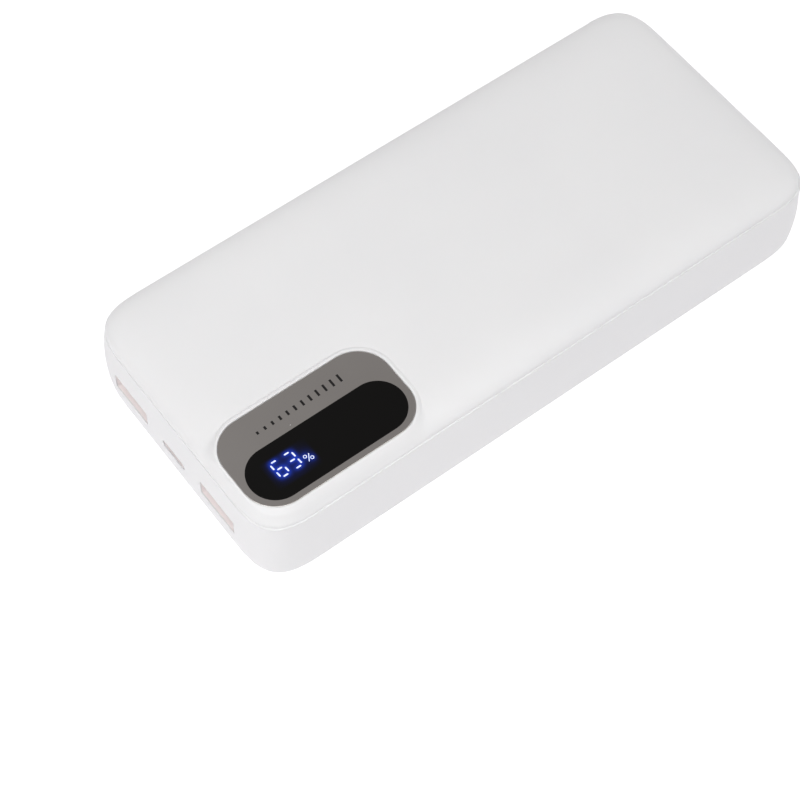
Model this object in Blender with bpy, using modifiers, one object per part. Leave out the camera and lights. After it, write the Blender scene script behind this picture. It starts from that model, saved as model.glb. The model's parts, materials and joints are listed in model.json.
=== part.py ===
"""Power bank: flat rectangular battery pack with soft pillowed top edges, a digit display
in a raised collar, two USB-A outputs and one USB-C port in its short end, and a side button.

Frame: +Z up (display face), ports in the -Y end, button in the -X side, long axis along Y,
origin at the centre of the resting face. All sizes are in millimetres and turned into
metres by MM. Pieces whose material is None are helpers for boolean modifiers.
"""

import math

import bmesh
import bpy
from mathutils import Matrix, Vector

MM = 0.001

# ---------------------------------------------------------------- shared dimensions (mm)
BODY_W = 67.2            # width at the parting line
BODY_L = 151.1           # length at the parting line
PART_Z = 20.3            # height of the parting line between tub and cover
TOP_Z = 23.7             # flat top of the cover
PILLOW_IN = 5.3          # how far the rolled cover edge reaches in
PILLOW_POWER = 2.2       # fullness of the rolled edge
SIDE_BULGE = 0.57        # crown of the side walls
SIDE_DRAFT = 0.64        # how much wider each wall is at its foot
FOOT_R = 2.4             # radius along the bottom edge
CORNER = 15.9            # reach of the squircle corners
CORNER_POWER = 3.9
CORNER_STEPS = 9
WALL = 1.8               # tub wall, floor and cover roof
SEAM = 0.3               # gap between tub and cover
SEAM_IN = 0.25           # how far both seam edges step in

LENS_C = (18.86, -52.35)
LENS_W, LENS_L, LENS_R = 23.1, 42.1, 7.9

DIGIT_C = (22.5, -61.6)
DIGIT_W, DIGIT_L = 7.4, 11.2
DISPLAY_SCREW_XY = ((18.6, -52.6), (26.4, -52.6))

PORT_Y = -74.4           # front edge of the port shells, just behind the wall
USB_A_X = (-17.0, 15.5)
USB_A_Z = 9.6
USB_C_AT = (-0.8, 8.5)   # x, z

BOARD_Z0, BOARD_Z1 = 5.0, 6.6
PART_ON_BOARD = 6.75     # underside of everything soldered on the board
BOARD_SCREW_XY = ((-25.2, -46.9), (25.2, -46.9))

BUTTON_Y, BUTTON_Z = -52.0, 8.8
BUTTON_L, BUTTON_H = 11.0, 3.6

SIDES = ("left", "right")        # -X, +X
X_AXIS, Z_AXIS = (1, 0, 0), (0, 0, 1)
PATH_STEPS = 3                   # points per span of a smoothed path

# ---------------------------------------------------------------- scene and materials
for old in list(bpy.data.objects):
    bpy.data.objects.remove(old, do_unlink=True)


def collection(name):
    made = bpy.data.collections.new(name)
    bpy.context.scene.collection.children.link(made)
    return made


PARTS = collection("power_bank")
HELPERS = collection("cutters")
ROOT = bpy.data.objects.new("power_bank_root", None)
PARTS.objects.link(ROOT)


def material(name, colour, rough, metal=0.0):
    made = bpy.data.materials.new(name)
    made.use_nodes = True
    shader = made.node_tree.nodes["Principled BSDF"]
    shader.inputs["Base Color"].default_value = (*colour, 1.0)
    shader.inputs["Roughness"].default_value = rough
    shader.inputs["Metallic"].default_value = metal
    made.diffuse_color = (*colour, 1.0)
    return made


WHITE = material("case_white", colour=(0.86, 0.86, 0.87), rough=0.34)
LENS = material("display_lens", colour=(0.20, 0.195, 0.19), rough=0.08, metal=0.6)
BLACK = material("black_plastic", colour=(0.015, 0.015, 0.017), rough=0.4)
FOAM = material("black_foam", colour=(0.03, 0.03, 0.03), rough=0.95)
TAPE = material("adhesive_tape", colour=(0.75, 0.74, 0.70), rough=0.7)
DIFFUSER = material("digit_diffuser", colour=(0.62, 0.70, 0.95), rough=0.5)
BOARD = material("circuit_board", colour=(0.02, 0.16, 0.07), rough=0.45)
NICKEL = material("nickel", colour=(0.70, 0.68, 0.64), rough=0.28, metal=1.0)
STEEL = material("port_steel", colour=(0.72, 0.70, 0.68), rough=0.25, metal=1.0)
GOLD = material("contact_gold", colour=(0.83, 0.62, 0.25), rough=0.25, metal=1.0)
TONGUE = material("port_tongue", colour=(0.80, 0.80, 0.80), rough=0.45)
POUCH = material("cell_pouch", colour=(0.55, 0.56, 0.58), rough=0.35, metal=0.7)
FERRITE = material("ferrite", colour=(0.10, 0.10, 0.105), rough=0.55)
CHIP = material("chip_resin", colour=(0.02, 0.02, 0.022), rough=0.5)
CAN = material("capacitor_can", colour=(0.75, 0.75, 0.77), rough=0.25, metal=0.9)
RED = material("wire_red", colour=(0.60, 0.02, 0.02), rough=0.45)
DARK = material("wire_black", colour=(0.02, 0.02, 0.02), rough=0.45)
RIBBON = material("ribbon_cable", colour=(0.55, 0.28, 0.05), rough=0.35)


# ---------------------------------------------------------------- outlines and paths
def squircle(width, length, corner, power=CORNER_POWER, steps=CORNER_STEPS):
    """Closed outline of a rectangle whose corners are superellipse arcs."""
    points = []
    for turn, (side_x, side_y) in enumerate(((1, 1), (-1, 1), (-1, -1), (1, -1))):
        for i in range(steps + 1):
            angle = math.radians(90 * (turn + i / steps))
            cosine, sine = math.cos(angle), math.sin(angle)
            arc_x = math.copysign(abs(cosine) ** (2 / power), cosine)
            arc_y = math.copysign(abs(sine) ** (2 / power), sine)
            points.append(
                (
                    side_x * (width / 2 - corner) + corner * arc_x,
                    side_y * (length / 2 - corner) + corner * arc_y,
                )
            )
    return points


def rounded(width, length, radius, steps, at):
    """A rectangle with round corners, centred at a point."""
    points = squircle(width, length, radius, 2.0, steps)
    return [(x + at[0], y + at[1]) for x, y in points]


def stadium(width, height, steps, at):
    """A slot with all but fully round ends."""
    return rounded(width, height, min(width, height) / 2 - 0.01, steps, at)


def lens_outline(grow, steps):
    """The lens outline, moved out by grow."""
    return rounded(LENS_W + 2 * grow, LENS_L + 2 * grow, LENS_R + grow, steps, LENS_C)


def body_ring(inset, z):
    """The body's plan outline, moved in by inset, at height z."""
    flat = squircle(BODY_W - 2 * inset, BODY_L - 2 * inset, CORNER - inset)
    return [(x, y, z) for x, y in flat]


def side_inset(z):
    """How far the side wall stands inside the parting outline; negative is outside."""
    drop = (PART_Z - z) / (PART_Z - FOOT_R)
    return -(SIDE_BULGE * 4 * drop * (1 - drop) + SIDE_DRAFT * drop)


def tub_skin(wall, radius, foot_steps, top, side_steps):
    """Rings from the floor round the foot and up the side to top, wall inside the tub's skin."""
    rings = []
    for i in range(foot_steps + 1):
        angle = math.radians(90 * i / foot_steps)
        inset = -SIDE_DRAFT + wall + radius * (1 - math.sin(angle))
        rings.append(body_ring(inset, wall + radius * (1 - math.cos(angle))))
    foot = wall + radius
    for i in range(1, side_steps + 1):
        z = foot + (top - foot) * i / side_steps
        rings.append(body_ring(side_inset(z) + wall, z))
    return rings


def pillow(along):
    """(inset, z) on the rolled edge; along runs from 0 at the seam to 1 at the flat top."""
    angle = along * math.pi / 2
    exponent = 2 / PILLOW_POWER
    reach = 1 - math.cos(angle) ** exponent if along < 1 else 1.0
    return PILLOW_IN * reach, PART_Z + (TOP_Z - PART_Z) * math.sin(angle) ** exponent


def smooth_path(knots):
    """Points of a Catmull-Rom curve through the knots."""
    knots = [Vector(knot) for knot in knots]
    ends = [2 * knots[0] - knots[1], *knots, 2 * knots[-1] - knots[-2]]
    path = []
    for before, start, end, after in zip(ends, ends[1:], ends[2:], ends[3:]):
        for i in range(PATH_STEPS):
            t = i / PATH_STEPS
            path.append(
                0.5 * (2 * start + (end - before) * t
                       + (2 * before - 5 * start + 4 * end - after) * t**2
                       + (3 * start - before - 3 * end + after) * t**3)
            )
    path.append(knots[-1])
    return path


# ---------------------------------------------------------------- building tools
def place(obj, mat):
    """Link obj as a part with its material, or as a hidden helper when mat is None."""
    if mat is None:
        HELPERS.objects.link(obj)
        obj.hide_render = True
        obj.display_type = "WIRE"
    else:
        PARTS.objects.link(obj)
        obj.parent = ROOT
        obj.data.materials.append(mat)
    return obj


def from_bmesh(name, geometry, mat, centre=None):
    """An object from a bmesh, with its origin at centre (mm)."""
    bmesh.ops.recalc_face_normals(geometry, faces=geometry.faces)
    if centre is not None:
        bmesh.ops.translate(geometry, verts=geometry.verts, vec=-Vector(centre))
    bmesh.ops.scale(geometry, verts=geometry.verts, vec=(MM, MM, MM))
    mesh = bpy.data.meshes.new(name)
    geometry.to_mesh(mesh)
    geometry.free()
    obj = bpy.data.objects.new(name, mesh)
    if centre is not None:
        obj.location = Vector(centre) * MM
    return place(obj, mat)


def loft(name, rings, mat=None, centre=None):
    """A closed skin through rings of equal count, capped at both ends."""
    geometry = bmesh.new()
    rows = [[geometry.verts.new(point) for point in ring] for ring in rings]
    count = len(rows[0])
    for low, high in zip(rows, rows[1:]):
        for i in range(count):
            j = (i + 1) % count
            geometry.faces.new((low[i], low[j], high[j], high[i]))
    geometry.faces.new(rows[0][::-1])
    geometry.faces.new(rows[-1])
    return from_bmesh(name, geometry, mat, centre)


def bevel(obj, width, segments):
    edge = obj.modifiers.new("edge", "BEVEL")
    edge.width = width * MM
    edge.segments = segments
    return edge


def box(name, low, high, mat=None, edge=0.0, segments=1):
    """A box between two corners, bevelled when edge is given."""
    low, high = Vector(low), Vector(high)
    centre = (low + high) / 2
    geometry = bmesh.new()
    bmesh.ops.create_cube(geometry, size=1.0)
    bmesh.ops.scale(geometry, verts=geometry.verts, vec=high - low)
    bmesh.ops.translate(geometry, verts=geometry.verts, vec=centre)
    obj = from_bmesh(name, geometry, mat, centre)
    if edge:
        bevel(obj, edge, segments)
    return obj


def cylinder(name, base, radius, height, mat=None, sides=24, top=None, axis=Z_AXIS):
    """A cylinder, or a cone when top is another radius, from base along axis."""
    geometry = bmesh.new()
    bmesh.ops.create_cone(
        geometry,
        cap_ends=True,
        segments=sides,
        radius1=radius,
        radius2=radius if top is None else top,
        depth=height,
    )
    axis = Vector(axis).normalized()
    turn = Vector((0, 0, 1)).rotation_difference(axis).to_matrix().to_4x4()
    middle = Vector(base) + axis * height / 2
    matrix = Matrix.Translation(middle) @ turn
    bmesh.ops.transform(geometry, matrix=matrix, verts=geometry.verts)
    return from_bmesh(name, geometry, mat, middle)


def slab(name, outline, low, high, mat=None, plane="XY"):
    """A flat outline pulled from low to high across plane, made from a filled 2D curve."""
    curve = bpy.data.curves.new(name, "CURVE")
    curve.dimensions = "2D"
    curve.fill_mode = "BOTH"
    curve.extrude = (high - low) / 2 * MM
    spline = curve.splines.new("POLY")
    spline.points.add(len(outline) - 1)
    for point, (x, y) in zip(spline.points, outline):
        point.co = (x * MM, y * MM, 0, 1)
    spline.use_cyclic_u = True
    temporary = bpy.data.objects.new(name + "_curve", curve)
    bpy.context.scene.collection.objects.link(temporary)
    bpy.context.view_layer.update()
    graph = bpy.context.evaluated_depsgraph_get()
    mesh = bpy.data.meshes.new_from_object(temporary.evaluated_get(graph))
    bpy.data.objects.remove(temporary, do_unlink=True)
    geometry = bmesh.new()
    geometry.from_mesh(mesh)
    bmesh.ops.remove_doubles(geometry, verts=geometry.verts, dist=1e-7)
    middle = (low + high) / 2 * MM
    if plane == "XY":
        turn = Matrix.Translation((0, 0, middle))
    elif plane == "XZ":      # outline (x, z), pulled along y
        turn = Matrix.Translation((0, middle, 0)) @ Matrix.Rotation(math.pi / 2, 4, "X")
    else:                    # YZ: outline (y, z), pulled along x
        turn = Matrix.Translation((middle, 0, 0)) @ Matrix(
            ((0, 0, 1, 0), (1, 0, 0, 0), (0, 1, 0, 0), (0, 0, 0, 1))
        )
    bmesh.ops.transform(geometry, matrix=turn, verts=geometry.verts)
    bmesh.ops.recalc_face_normals(geometry, faces=geometry.faces)
    geometry.to_mesh(mesh)
    geometry.free()
    mesh.materials.clear()
    mesh.name = name
    return place(bpy.data.objects.new(name, mesh), mat)


def boolean(obj, other, operation):
    step = obj.modifiers.new(operation.lower() + "_" + other.name, "BOOLEAN")
    step.operation = operation
    step.solver = "EXACT"
    step.object = other


def cut(obj, *others):
    for other in others:
        boolean(obj, other, "DIFFERENCE")


def join(obj, *others):
    for other in others:
        boolean(obj, other, "UNION")


def wire(name, knots, radius, mat):
    """A round wire smoothed through the knots."""
    points = smooth_path(knots)
    curve = bpy.data.curves.new(name, "CURVE")
    curve.dimensions = "3D"
    curve.bevel_depth = radius * MM
    curve.bevel_resolution = 2
    curve.use_fill_caps = True
    spline = curve.splines.new("POLY")
    spline.points.add(len(points) - 1)
    for point, spot in zip(spline.points, points):
        point.co = (*(spot * MM), 1)
    return place(bpy.data.objects.new(name, curve), mat)


def shade(obj):
    """Smooth shading, sharp across edges over 35 degrees."""
    obj.data.shade_smooth()
    obj.data.set_sharp_from_angle(angle=math.radians(35))


def cross_screw(prefix, number, x, y, head, shank, slot_reach, slot_half, slot_z):
    """A screw with a crossed slot; head and shank are cylinder settings with their base z."""
    def turned(name, z, **settings):
        return cylinder(name, (x, y, z), **settings)

    screw = turned(f"{prefix}_screw_{SIDES[number]}", mat=STEEL, **head)
    join(screw, turned(f"{prefix}_shank_{number}", **shank))
    for name, half_x, half_y in (
        ("slot", slot_reach, slot_half),
        ("cross", slot_half, slot_reach),
    ):
        cut(screw, box(f"{prefix}_{name}_{number}",
                       (x - half_x, y - half_y, slot_z[0]),
                       (x + half_x, y + half_y, slot_z[1])))
    shade(screw)


# ---------------------------------------------------------------- snap hooks
HOOK_Y = (-30.0, 15.0, 55.0)
HOOK_HALF, END_HOOK_HALF = 3.9, 7.9      # half lengths on the side and end walls
HOOK_POCKET_GAP = 0.4                    # pocket clearance at each end of a hook
# Reach outwards from the wall's inner face at the parting line, then heights.
HOOK_REACH, HOOK_Z = (-0.7, 0.65), (18.6, 19.35)
HOOK_POCKET_REACH, HOOK_POCKET_Z = (0.0, 0.95), (18.4, 19.7)

# side of the body, place along the wall, half length, whether on an end wall
HOOKS = [(side, y, HOOK_HALF, False) for side in (-1, 1) for y in HOOK_Y]
HOOKS += [(side, 0.0, END_HOOK_HALF, True) for side in (-1, 1)]


def hook_block(name, hook, gap, reach, heights):
    """A box for a hook or its pocket, gap longer than the hook at both ends."""
    side, along, half, on_end = hook
    face = (BODY_L if on_end else BODY_W) / 2 - WALL
    across = sorted(side * (face + step) for step in reach)
    run = (along - half - gap, along + half + gap)
    x_span, y_span = (run, across) if on_end else (across, run)
    return box(name, *zip(x_span, y_span, heights))


# ---------------------------------------------------------------- bottom case: tub
RIM_Z = PART_Z - SEAM / 2
RIM_CHAMFER_H = 0.3
INNER_FOOT_R = 1.2
PORT_CUT_Y = (-79.0, -73.0)      # through the -Y wall
BUTTON_CUT_X = (-37.0, -31.5)    # through the -X wall
ROOT_Z = WALL - 0.4              # standing features start inside the floor
REST_TOP = 4.85                  # top of what carries the main board
# Board rests, then battery stops at both ends: x0, x1, y0, y1, top
RESTS = (
    (-27.5, -24.5, -70.5, -67.5, REST_TOP),
    (24.5, 27.5, -70.5, -67.5, REST_TOP),
    (-4.0, 2.5, -69.5, -66.5, REST_TOP),
    (-28.5, -18.0, -42.9, -41.9, 8.0),
    (18.0, 28.5, -42.9, -41.9, 8.0),
    (-20.0, -8.0, 70.8, 71.8, 9.0),
    (8.0, 20.0, 70.8, 71.8, 9.0),
)


def cut_tub_openings(tub):
    """Port and button openings, and the pockets that take the cover's snap hooks."""
    for label, x in zip(SIDES, USB_A_X):
        mouth = rounded(12.9, 5.5, radius=0.5, steps=3, at=(x, USB_A_Z))
        cut(tub, slab("usb_a_hole_" + label, mouth, *PORT_CUT_Y, plane="XZ"))
    mouth = stadium(9.3, 3.5, steps=5, at=USB_C_AT)
    cut(tub, slab("usb_c_hole", mouth, *PORT_CUT_Y, plane="XZ"))
    mouth = stadium(BUTTON_L + 0.5, BUTTON_H + 0.5, steps=5, at=(BUTTON_Y, BUTTON_Z))
    cut(tub, slab("button_hole", mouth, *BUTTON_CUT_X, plane="YZ"))
    for hook in HOOKS:
        cut(tub, hook_block("hook_pocket", hook, HOOK_POCKET_GAP,
                            HOOK_POCKET_REACH, HOOK_POCKET_Z))


def add_tub_floor_features(tub):
    """Screw bosses, board rests and battery stops."""
    for n, (x, y) in enumerate(BOARD_SCREW_XY):
        join(tub, cylinder(f"boss_{n}", (x, y, ROOT_Z), radius=2.4, height=REST_TOP - ROOT_Z))
        cut(tub, cylinder(f"boss_hole_{n}", (x, y, 2.3), radius=1.05, height=4.0, sides=16))
    for n, (x0, x1, y0, y1, top) in enumerate(RESTS):
        join(tub, box(f"rest_{n}", (x0, y0, ROOT_Z), (x1, y1, top)))


def build_bottom_case():
    skin = tub_skin(0.0, FOOT_R, foot_steps=4, top=RIM_Z - RIM_CHAMFER_H, side_steps=6)
    skin.append(body_ring(side_inset(RIM_Z) + SEAM_IN, RIM_Z))
    tub = loft("bottom_case", skin, WHITE)
    hollow = tub_skin(WALL, INNER_FOOT_R, foot_steps=3, top=RIM_Z, side_steps=4)
    hollow.append(body_ring(WALL, RIM_Z + 1.0))
    cut(tub, loft("tub_hollow", hollow))
    cut_tub_openings(tub)
    add_tub_floor_features(tub)
    shade(tub)


# ---------------------------------------------------------------- top cover
COVER_STEPS, UNDER_STEPS = 9, 6
UNDER_START_Z = 16.0
LIP_IN, LIP_T = 2.0, 1.0         # lip's outer inset and its thickness
COLLAR_OUT = 1.0                 # collar width round the lens
COLLAR_Z = (22.1, 23.95)
LENS_POCKET_GAP = 0.12
LENS_POCKET_Z = (22.60, 26.0)


def digit_box(name, grow, low, high, mat=None):
    """A box on the digit module's plan, moved out by grow, from low to high."""
    x, y = DIGIT_C
    half_x, half_y = DIGIT_W / 2 + grow, DIGIT_L / 2 + grow
    return box(name, (x - half_x, y - half_y, low), (x + half_x, y + half_y, high), mat)


def build_top_cover():
    skin = [body_ring(SEAM_IN, PART_Z + SEAM / 2)]
    skin += [body_ring(*pillow(i / COVER_STEPS)) for i in range(1, COVER_STEPS + 1)]
    cover = loft("top_cover", skin, WHITE)
    join(cover, slab("collar", lens_outline(COLLAR_OUT, steps=7), *COLLAR_Z))

    under = [body_ring(WALL, UNDER_START_Z)]
    for i in range(UNDER_STEPS + 1):
        inset, z = pillow(i / UNDER_STEPS)
        under.append(body_ring(inset + WALL, z - WALL))
    cut(cover, loft("cover_hollow", under))

    # Lip that drops inside the tub wall, with the hooks on it.
    lip = loft("cover_lip", [body_ring(LIP_IN, z) for z in (18.2, 20.9)])
    cut(lip, loft("cover_lip_hollow", [body_ring(LIP_IN + LIP_T, z) for z in (17.5, 21.4)]))
    join(cover, lip)
    for n, hook in enumerate(HOOKS):
        join(cover, hook_block(f"hook_{n}", hook, 0.0, HOOK_REACH, HOOK_Z))

    # Posts that carry the display board.
    for n, (x, y) in enumerate(DISPLAY_SCREW_XY):
        join(cover, cylinder(f"post_{n}", (x, y, 18.35), radius=1.5, height=4.0, sides=20))
        cut(cover, cylinder(f"post_hole_{n}", (x, y, 18.0), radius=0.75, height=2.9, sides=14))

    cut(
        cover,
        slab("lens_pocket", lens_outline(LENS_POCKET_GAP, steps=7), *LENS_POCKET_Z),
        digit_box("digit_opening", 0.4, 20.5, 24.0),
    )
    shade(cover)


# ---------------------------------------------------------------- display
LENS_Z = (22.90, 23.80)
WELL_Z = (19.2, 22.2)
DIGIT_SHIFT_X = -0.35            # digits against the module's centre
DIGIT_SHIFTS_Y = (-2.6, 0.6)
BAR_HALF_LONG, BAR_HALF_THICK = 0.62, 0.22
# Seven segments from the digit's centre: x, y, whether the bar runs along y
SEGMENTS = (
    (-2.04, 0, True), (0, 0, True), (2.04, 0, True),
    (-1.02, -1.12, False), (-1.02, 1.12, False), (1.02, -1.12, False), (1.02, 1.12, False),
)
SIGN_SHIFT, SIGN_HALF = (1.1, 3.7), (0.9, 0.8)

RIBBON_HALF_T = 0.13
RIBBON_Y = (-58.8, -53.2)
# x, z, 0: down from the display board, then in to the connector
RIBBON_KNOTS = (
    (14.2, 17.7, 0), (12.6, 17.6, 0), (11.1, 16.2, 0), (10.7, 12.5, 0),
    (10.7, 9.0, 0), (10.2, 7.6, 0), (8.6, 7.3, 0),
)


def build_lens():
    shade(slab("display_lens", lens_outline(0.0, steps=9), *LENS_Z, LENS))
    adhesive = slab("lens_adhesive", lens_outline(-0.3, steps=5), 22.66, 22.84, TAPE)
    cut(adhesive, slab("adhesive_window", lens_outline(-2.3, steps=5), 22.0, 23.5))


def build_display_board():
    board = box("display_board", (14.6, -69.3, 17.2), (29.4, -50.4, 18.2), BOARD)
    for n, (x, y) in enumerate(DISPLAY_SCREW_XY):
        cut(board, cylinder(f"display_hole_{n}", (x, y, 16.5), radius=0.9, height=2.5, sides=14))
        cross_screw(
            "display", n, x, y,
            head=dict(z=15.9, radius=1.5, height=1.15, sides=18),
            shank=dict(z=16.5, radius=0.6, height=3.9, sides=12),
            slot_reach=1.0, slot_half=0.15, slot_z=(15.0, 16.3),
        )


def light_well(name, x, y, half_x, half_y):
    low, high = WELL_Z
    return box(name, (x - half_x, y - half_y, low), (x + half_x, y + half_y, high))


def build_digits():
    """Housing with light wells for two digits and a sign, its diffuser and foam gasket."""
    housing = digit_box("digit_housing", 0.0, 18.35, 22.40, BLACK)
    cut(housing, digit_box("digit_recess", -0.3, 21.85, 23.0))
    for digit, digit_y in enumerate(DIGIT_SHIFTS_Y):
        for n, (x, y, along_y) in enumerate(SEGMENTS):
            half = (BAR_HALF_THICK, BAR_HALF_LONG) if along_y else (BAR_HALF_LONG, BAR_HALF_THICK)
            cut(housing, light_well(f"well_{digit}{n}", DIGIT_C[0] + DIGIT_SHIFT_X + x,
                                    DIGIT_C[1] + digit_y + y, *half))
    cut(housing, light_well("well_sign", DIGIT_C[0] + SIGN_SHIFT[0],
                            DIGIT_C[1] + SIGN_SHIFT[1], *SIGN_HALF))
    digit_box("digit_diffuser", -0.4, 21.95, 22.35, DIFFUSER)
    gasket = digit_box("display_gasket", 1.1, 18.4, 21.65, FOAM)
    cut(gasket, digit_box("gasket_hole", 0.2, 17.0, 23.0))


def build_display_ribbon():
    """Flat ribbon from the display board down to the main board."""
    path = smooth_path(RIBBON_KNOTS)
    one_side, other_side = [], []
    for i, point in enumerate(path):
        run = path[min(i + 1, len(path) - 1)] - path[max(i - 1, 0)]
        offset = Vector((-run.y, run.x, 0)).normalized() * RIBBON_HALF_T
        one_side.append((point.x + offset.x, point.y + offset.y))
        other_side.append((point.x - offset.x, point.y - offset.y))
    slab("display_ribbon", one_side + other_side[::-1], *RIBBON_Y, RIBBON, plane="XZ")


# ---------------------------------------------------------------- main board and its parts
BOARD_X0, BOARD_X1 = -28.5, 29.0
BOARD_Y0, BOARD_Y1 = -72.4, -44.4
# name, (x0, y0), (x1, y1), top, material, bevel width, bevel segments
BOARD_BLOCKS = (
    ("ribbon_connector", (5.2, -59.6), (8.4, -52.4), 8.5, TONGUE, 0.15, 1),
    ("boost_inductor", (-14.6, -56.4), (-4.6, -46.4), 11.2, FERRITE, 0.6, 2),
    ("power_ic", (-22.8, -58.2), (-16.8, -52.2), 7.65, CHIP, 0.1, 1),
    ("controller_ic", (14.0, -58.0), (18.0, -50.6), 8.25, CHIP, 0.1, 1),
    ("protection_mosfet", (20.6, -57.4), (25.6, -51.4), 7.75, CHIP, 0.1, 1),
)
CAPACITORS = (("input", -1.0, -61.8), ("output", -1.4, -49.6))   # label, x, y


def build_main_board():
    board = box("main_board", (BOARD_X0, BOARD_Y0, BOARD_Z0), (BOARD_X1, BOARD_Y1, BOARD_Z1), BOARD)
    for n, (x, y) in enumerate(BOARD_SCREW_XY):
        cut(board, cylinder(f"board_hole_{n}", (x, y, 4.0), radius=1.25, height=4.0, sides=18))
        cross_screw(
            "board", n, x, y,
            head=dict(z=6.75, radius=2.0, height=1.2, sides=20, top=1.7),
            shank=dict(z=2.8, radius=0.85, height=4.3, sides=14),
            slot_reach=1.2, slot_half=0.2, slot_z=(7.4, 9.0),
        )


def build_board_parts():
    for name, low, high, top, mat, edge, segments in BOARD_BLOCKS:
        box(name, (*low, PART_ON_BOARD), (*high, top), mat, edge, segments)
    for label, x, y in CAPACITORS:
        can = cylinder(f"{label}_capacitor", (x, y, PART_ON_BOARD), 2.6, 5.4, CAN)
        bevel(can, 0.35, 2)
        shade(can)


# ---------------------------------------------------------------- ports
USB_A_W, USB_A_H, USB_A_D = 13.2, 5.7, 14.0
SHEET = 0.35                     # sheet metal of the USB-A shells
SPRING_WINDOW_X = (-3.4, 3.4)    # from the port's centre
CONTACT_X = (-3.5, -1.25, 1.25, 3.5)
USB_C_W, USB_C_H, USB_C_D = 8.94, 3.2, 7.4
USB_C_SHEET = 0.3
USB_C_TONGUE_IN = 0.4            # tongue base inside the shell's outline
BORE_OVERRUN = 1.0               # bores pass both ends of a shell


def port_box(name, x, half, depths, heights, mat=None, edge=0.0, segments=1):
    """A box centred on x, between two depths behind the shells' front edge."""
    return box(name, (x - half, PORT_Y + depths[0], heights[0]),
               (x + half, PORT_Y + depths[1], heights[1]), mat, edge, segments)


def build_usb_a(label, x):
    at = (x, USB_A_Z)
    shell = slab(f"usb_a_shell_{label}", rounded(USB_A_W, USB_A_H, radius=0.6, steps=3, at=at),
                 PORT_Y, PORT_Y + USB_A_D, STEEL, plane="XZ")
    inside = rounded(USB_A_W - 2 * SHEET, USB_A_H - 2 * SHEET, radius=0.3, steps=3, at=at)
    cut(shell, slab(f"usb_a_bore_{label}", inside, PORT_Y - BORE_OVERRUN,
                    PORT_Y + USB_A_D + BORE_OVERRUN, plane="XZ"))
    # Pressed windows for the retention springs, two on top.
    for n, shift in enumerate(SPRING_WINDOW_X):
        cut(shell, port_box(f"spring_window_{label}_{n}", x + shift, 1.1, (3.0, 8.0), (11.9, 13.0)))
    shade(shell)
    # Insulator block with its tongue, hanging in the upper half of the mouth.
    block = port_box(f"usb_a_tongue_{label}", x, 6.05, (10.4, 13.8), (7.25, 11.95), TONGUE)
    join(block, port_box(f"tongue_blade_{label}", x, 5.55, (1.3, 11.0), (9.75, 11.55),
                         edge=0.25, segments=2))
    for n, shift in enumerate(CONTACT_X, start=1):
        port_box(f"usb_a_contact_{label}_{n}", x + shift, 0.5, (2.3, 10.1), (9.42, 9.64), GOLD)


def usb_c_outline(inset, steps):
    return stadium(USB_C_W - 2 * inset, USB_C_H - 2 * inset, steps, USB_C_AT)


def build_usb_c():
    back = PORT_Y + USB_C_D
    shell = slab("usb_c_shell", usb_c_outline(0.0, steps=6), PORT_Y, back, STEEL, plane="XZ")
    cut(shell, slab("usb_c_bore", usb_c_outline(USB_C_SHEET, steps=6),
                    PORT_Y - BORE_OVERRUN, back + BORE_OVERRUN, plane="XZ"))
    shade(shell)
    tongue = slab("usb_c_tongue", usb_c_outline(USB_C_TONGUE_IN, steps=5),
                  PORT_Y + 5.6, back - 0.1, BLACK, plane="XZ")
    x, z = USB_C_AT
    join(tongue, port_box("usb_c_blade", x, 3.34, (0.9, 6.2), (z - 0.35, z + 0.35)))


# ---------------------------------------------------------------- button and its switch
BUTTON_FACE = -34.85
# Rings of the cap from its outer face inwards: x, how much shorter than full size
CAP_RINGS = (
    (BUTTON_FACE, 1.0), (BUTTON_FACE + 0.08, 0.5), (BUTTON_FACE + 0.30, 0.1),
    (BUTTON_FACE + 0.50, 0.0), (-32.0, 0.0),
)
FLANGE_X = (-32.42, -31.72)
FLANGE_HALF_L, FLANGE_HALF_H = 7.0, 2.7
SWITCH_HALF_L, SWITCH_TOP = 3.0, 10.8
DOME_X = -27.22                  # foot of the snap dome, which rises towards -X
DOME_R, DOME_TOP_R, DOME_H = 1.5, 0.35, 0.30
DOME_STEPS, DOME_SIDES = 3, 24


def button_rod(name, x, radius, height, mat=None, sides=24):
    """A cylinder on the button's axis, from x inwards."""
    return cylinder(name, (x, BUTTON_Y, BUTTON_Z), radius, height, mat, sides, axis=X_AXIS)


def build_button_cap():
    rings = []
    for x, less in CAP_RINGS:
        outline = stadium(BUTTON_L - less, BUTTON_H - less, 6, (BUTTON_Y, BUTTON_Z))
        rings.append([(x, y, z) for y, z in outline])
    cap = loft("button_cap", rings, WHITE, centre=(-33.0, BUTTON_Y, BUTTON_Z))
    join(
        cap,
        box("button_flange",
            (FLANGE_X[0], BUTTON_Y - FLANGE_HALF_L, BUTTON_Z - FLANGE_HALF_H),
            (FLANGE_X[1], BUTTON_Y + FLANGE_HALF_L, BUTTON_Z + FLANGE_HALF_H), edge=0.15),
        button_rod("button_nub", -32.0, radius=1.1, height=0.85, sides=20),
    )
    shade(cap)


def switch_box(name, x0, x1, mat, edge=0.0):
    return box(name, (x0, BUTTON_Y - SWITCH_HALF_L, PART_ON_BOARD),
               (x1, BUTTON_Y + SWITCH_HALF_L, SWITCH_TOP), mat, edge)


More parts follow.
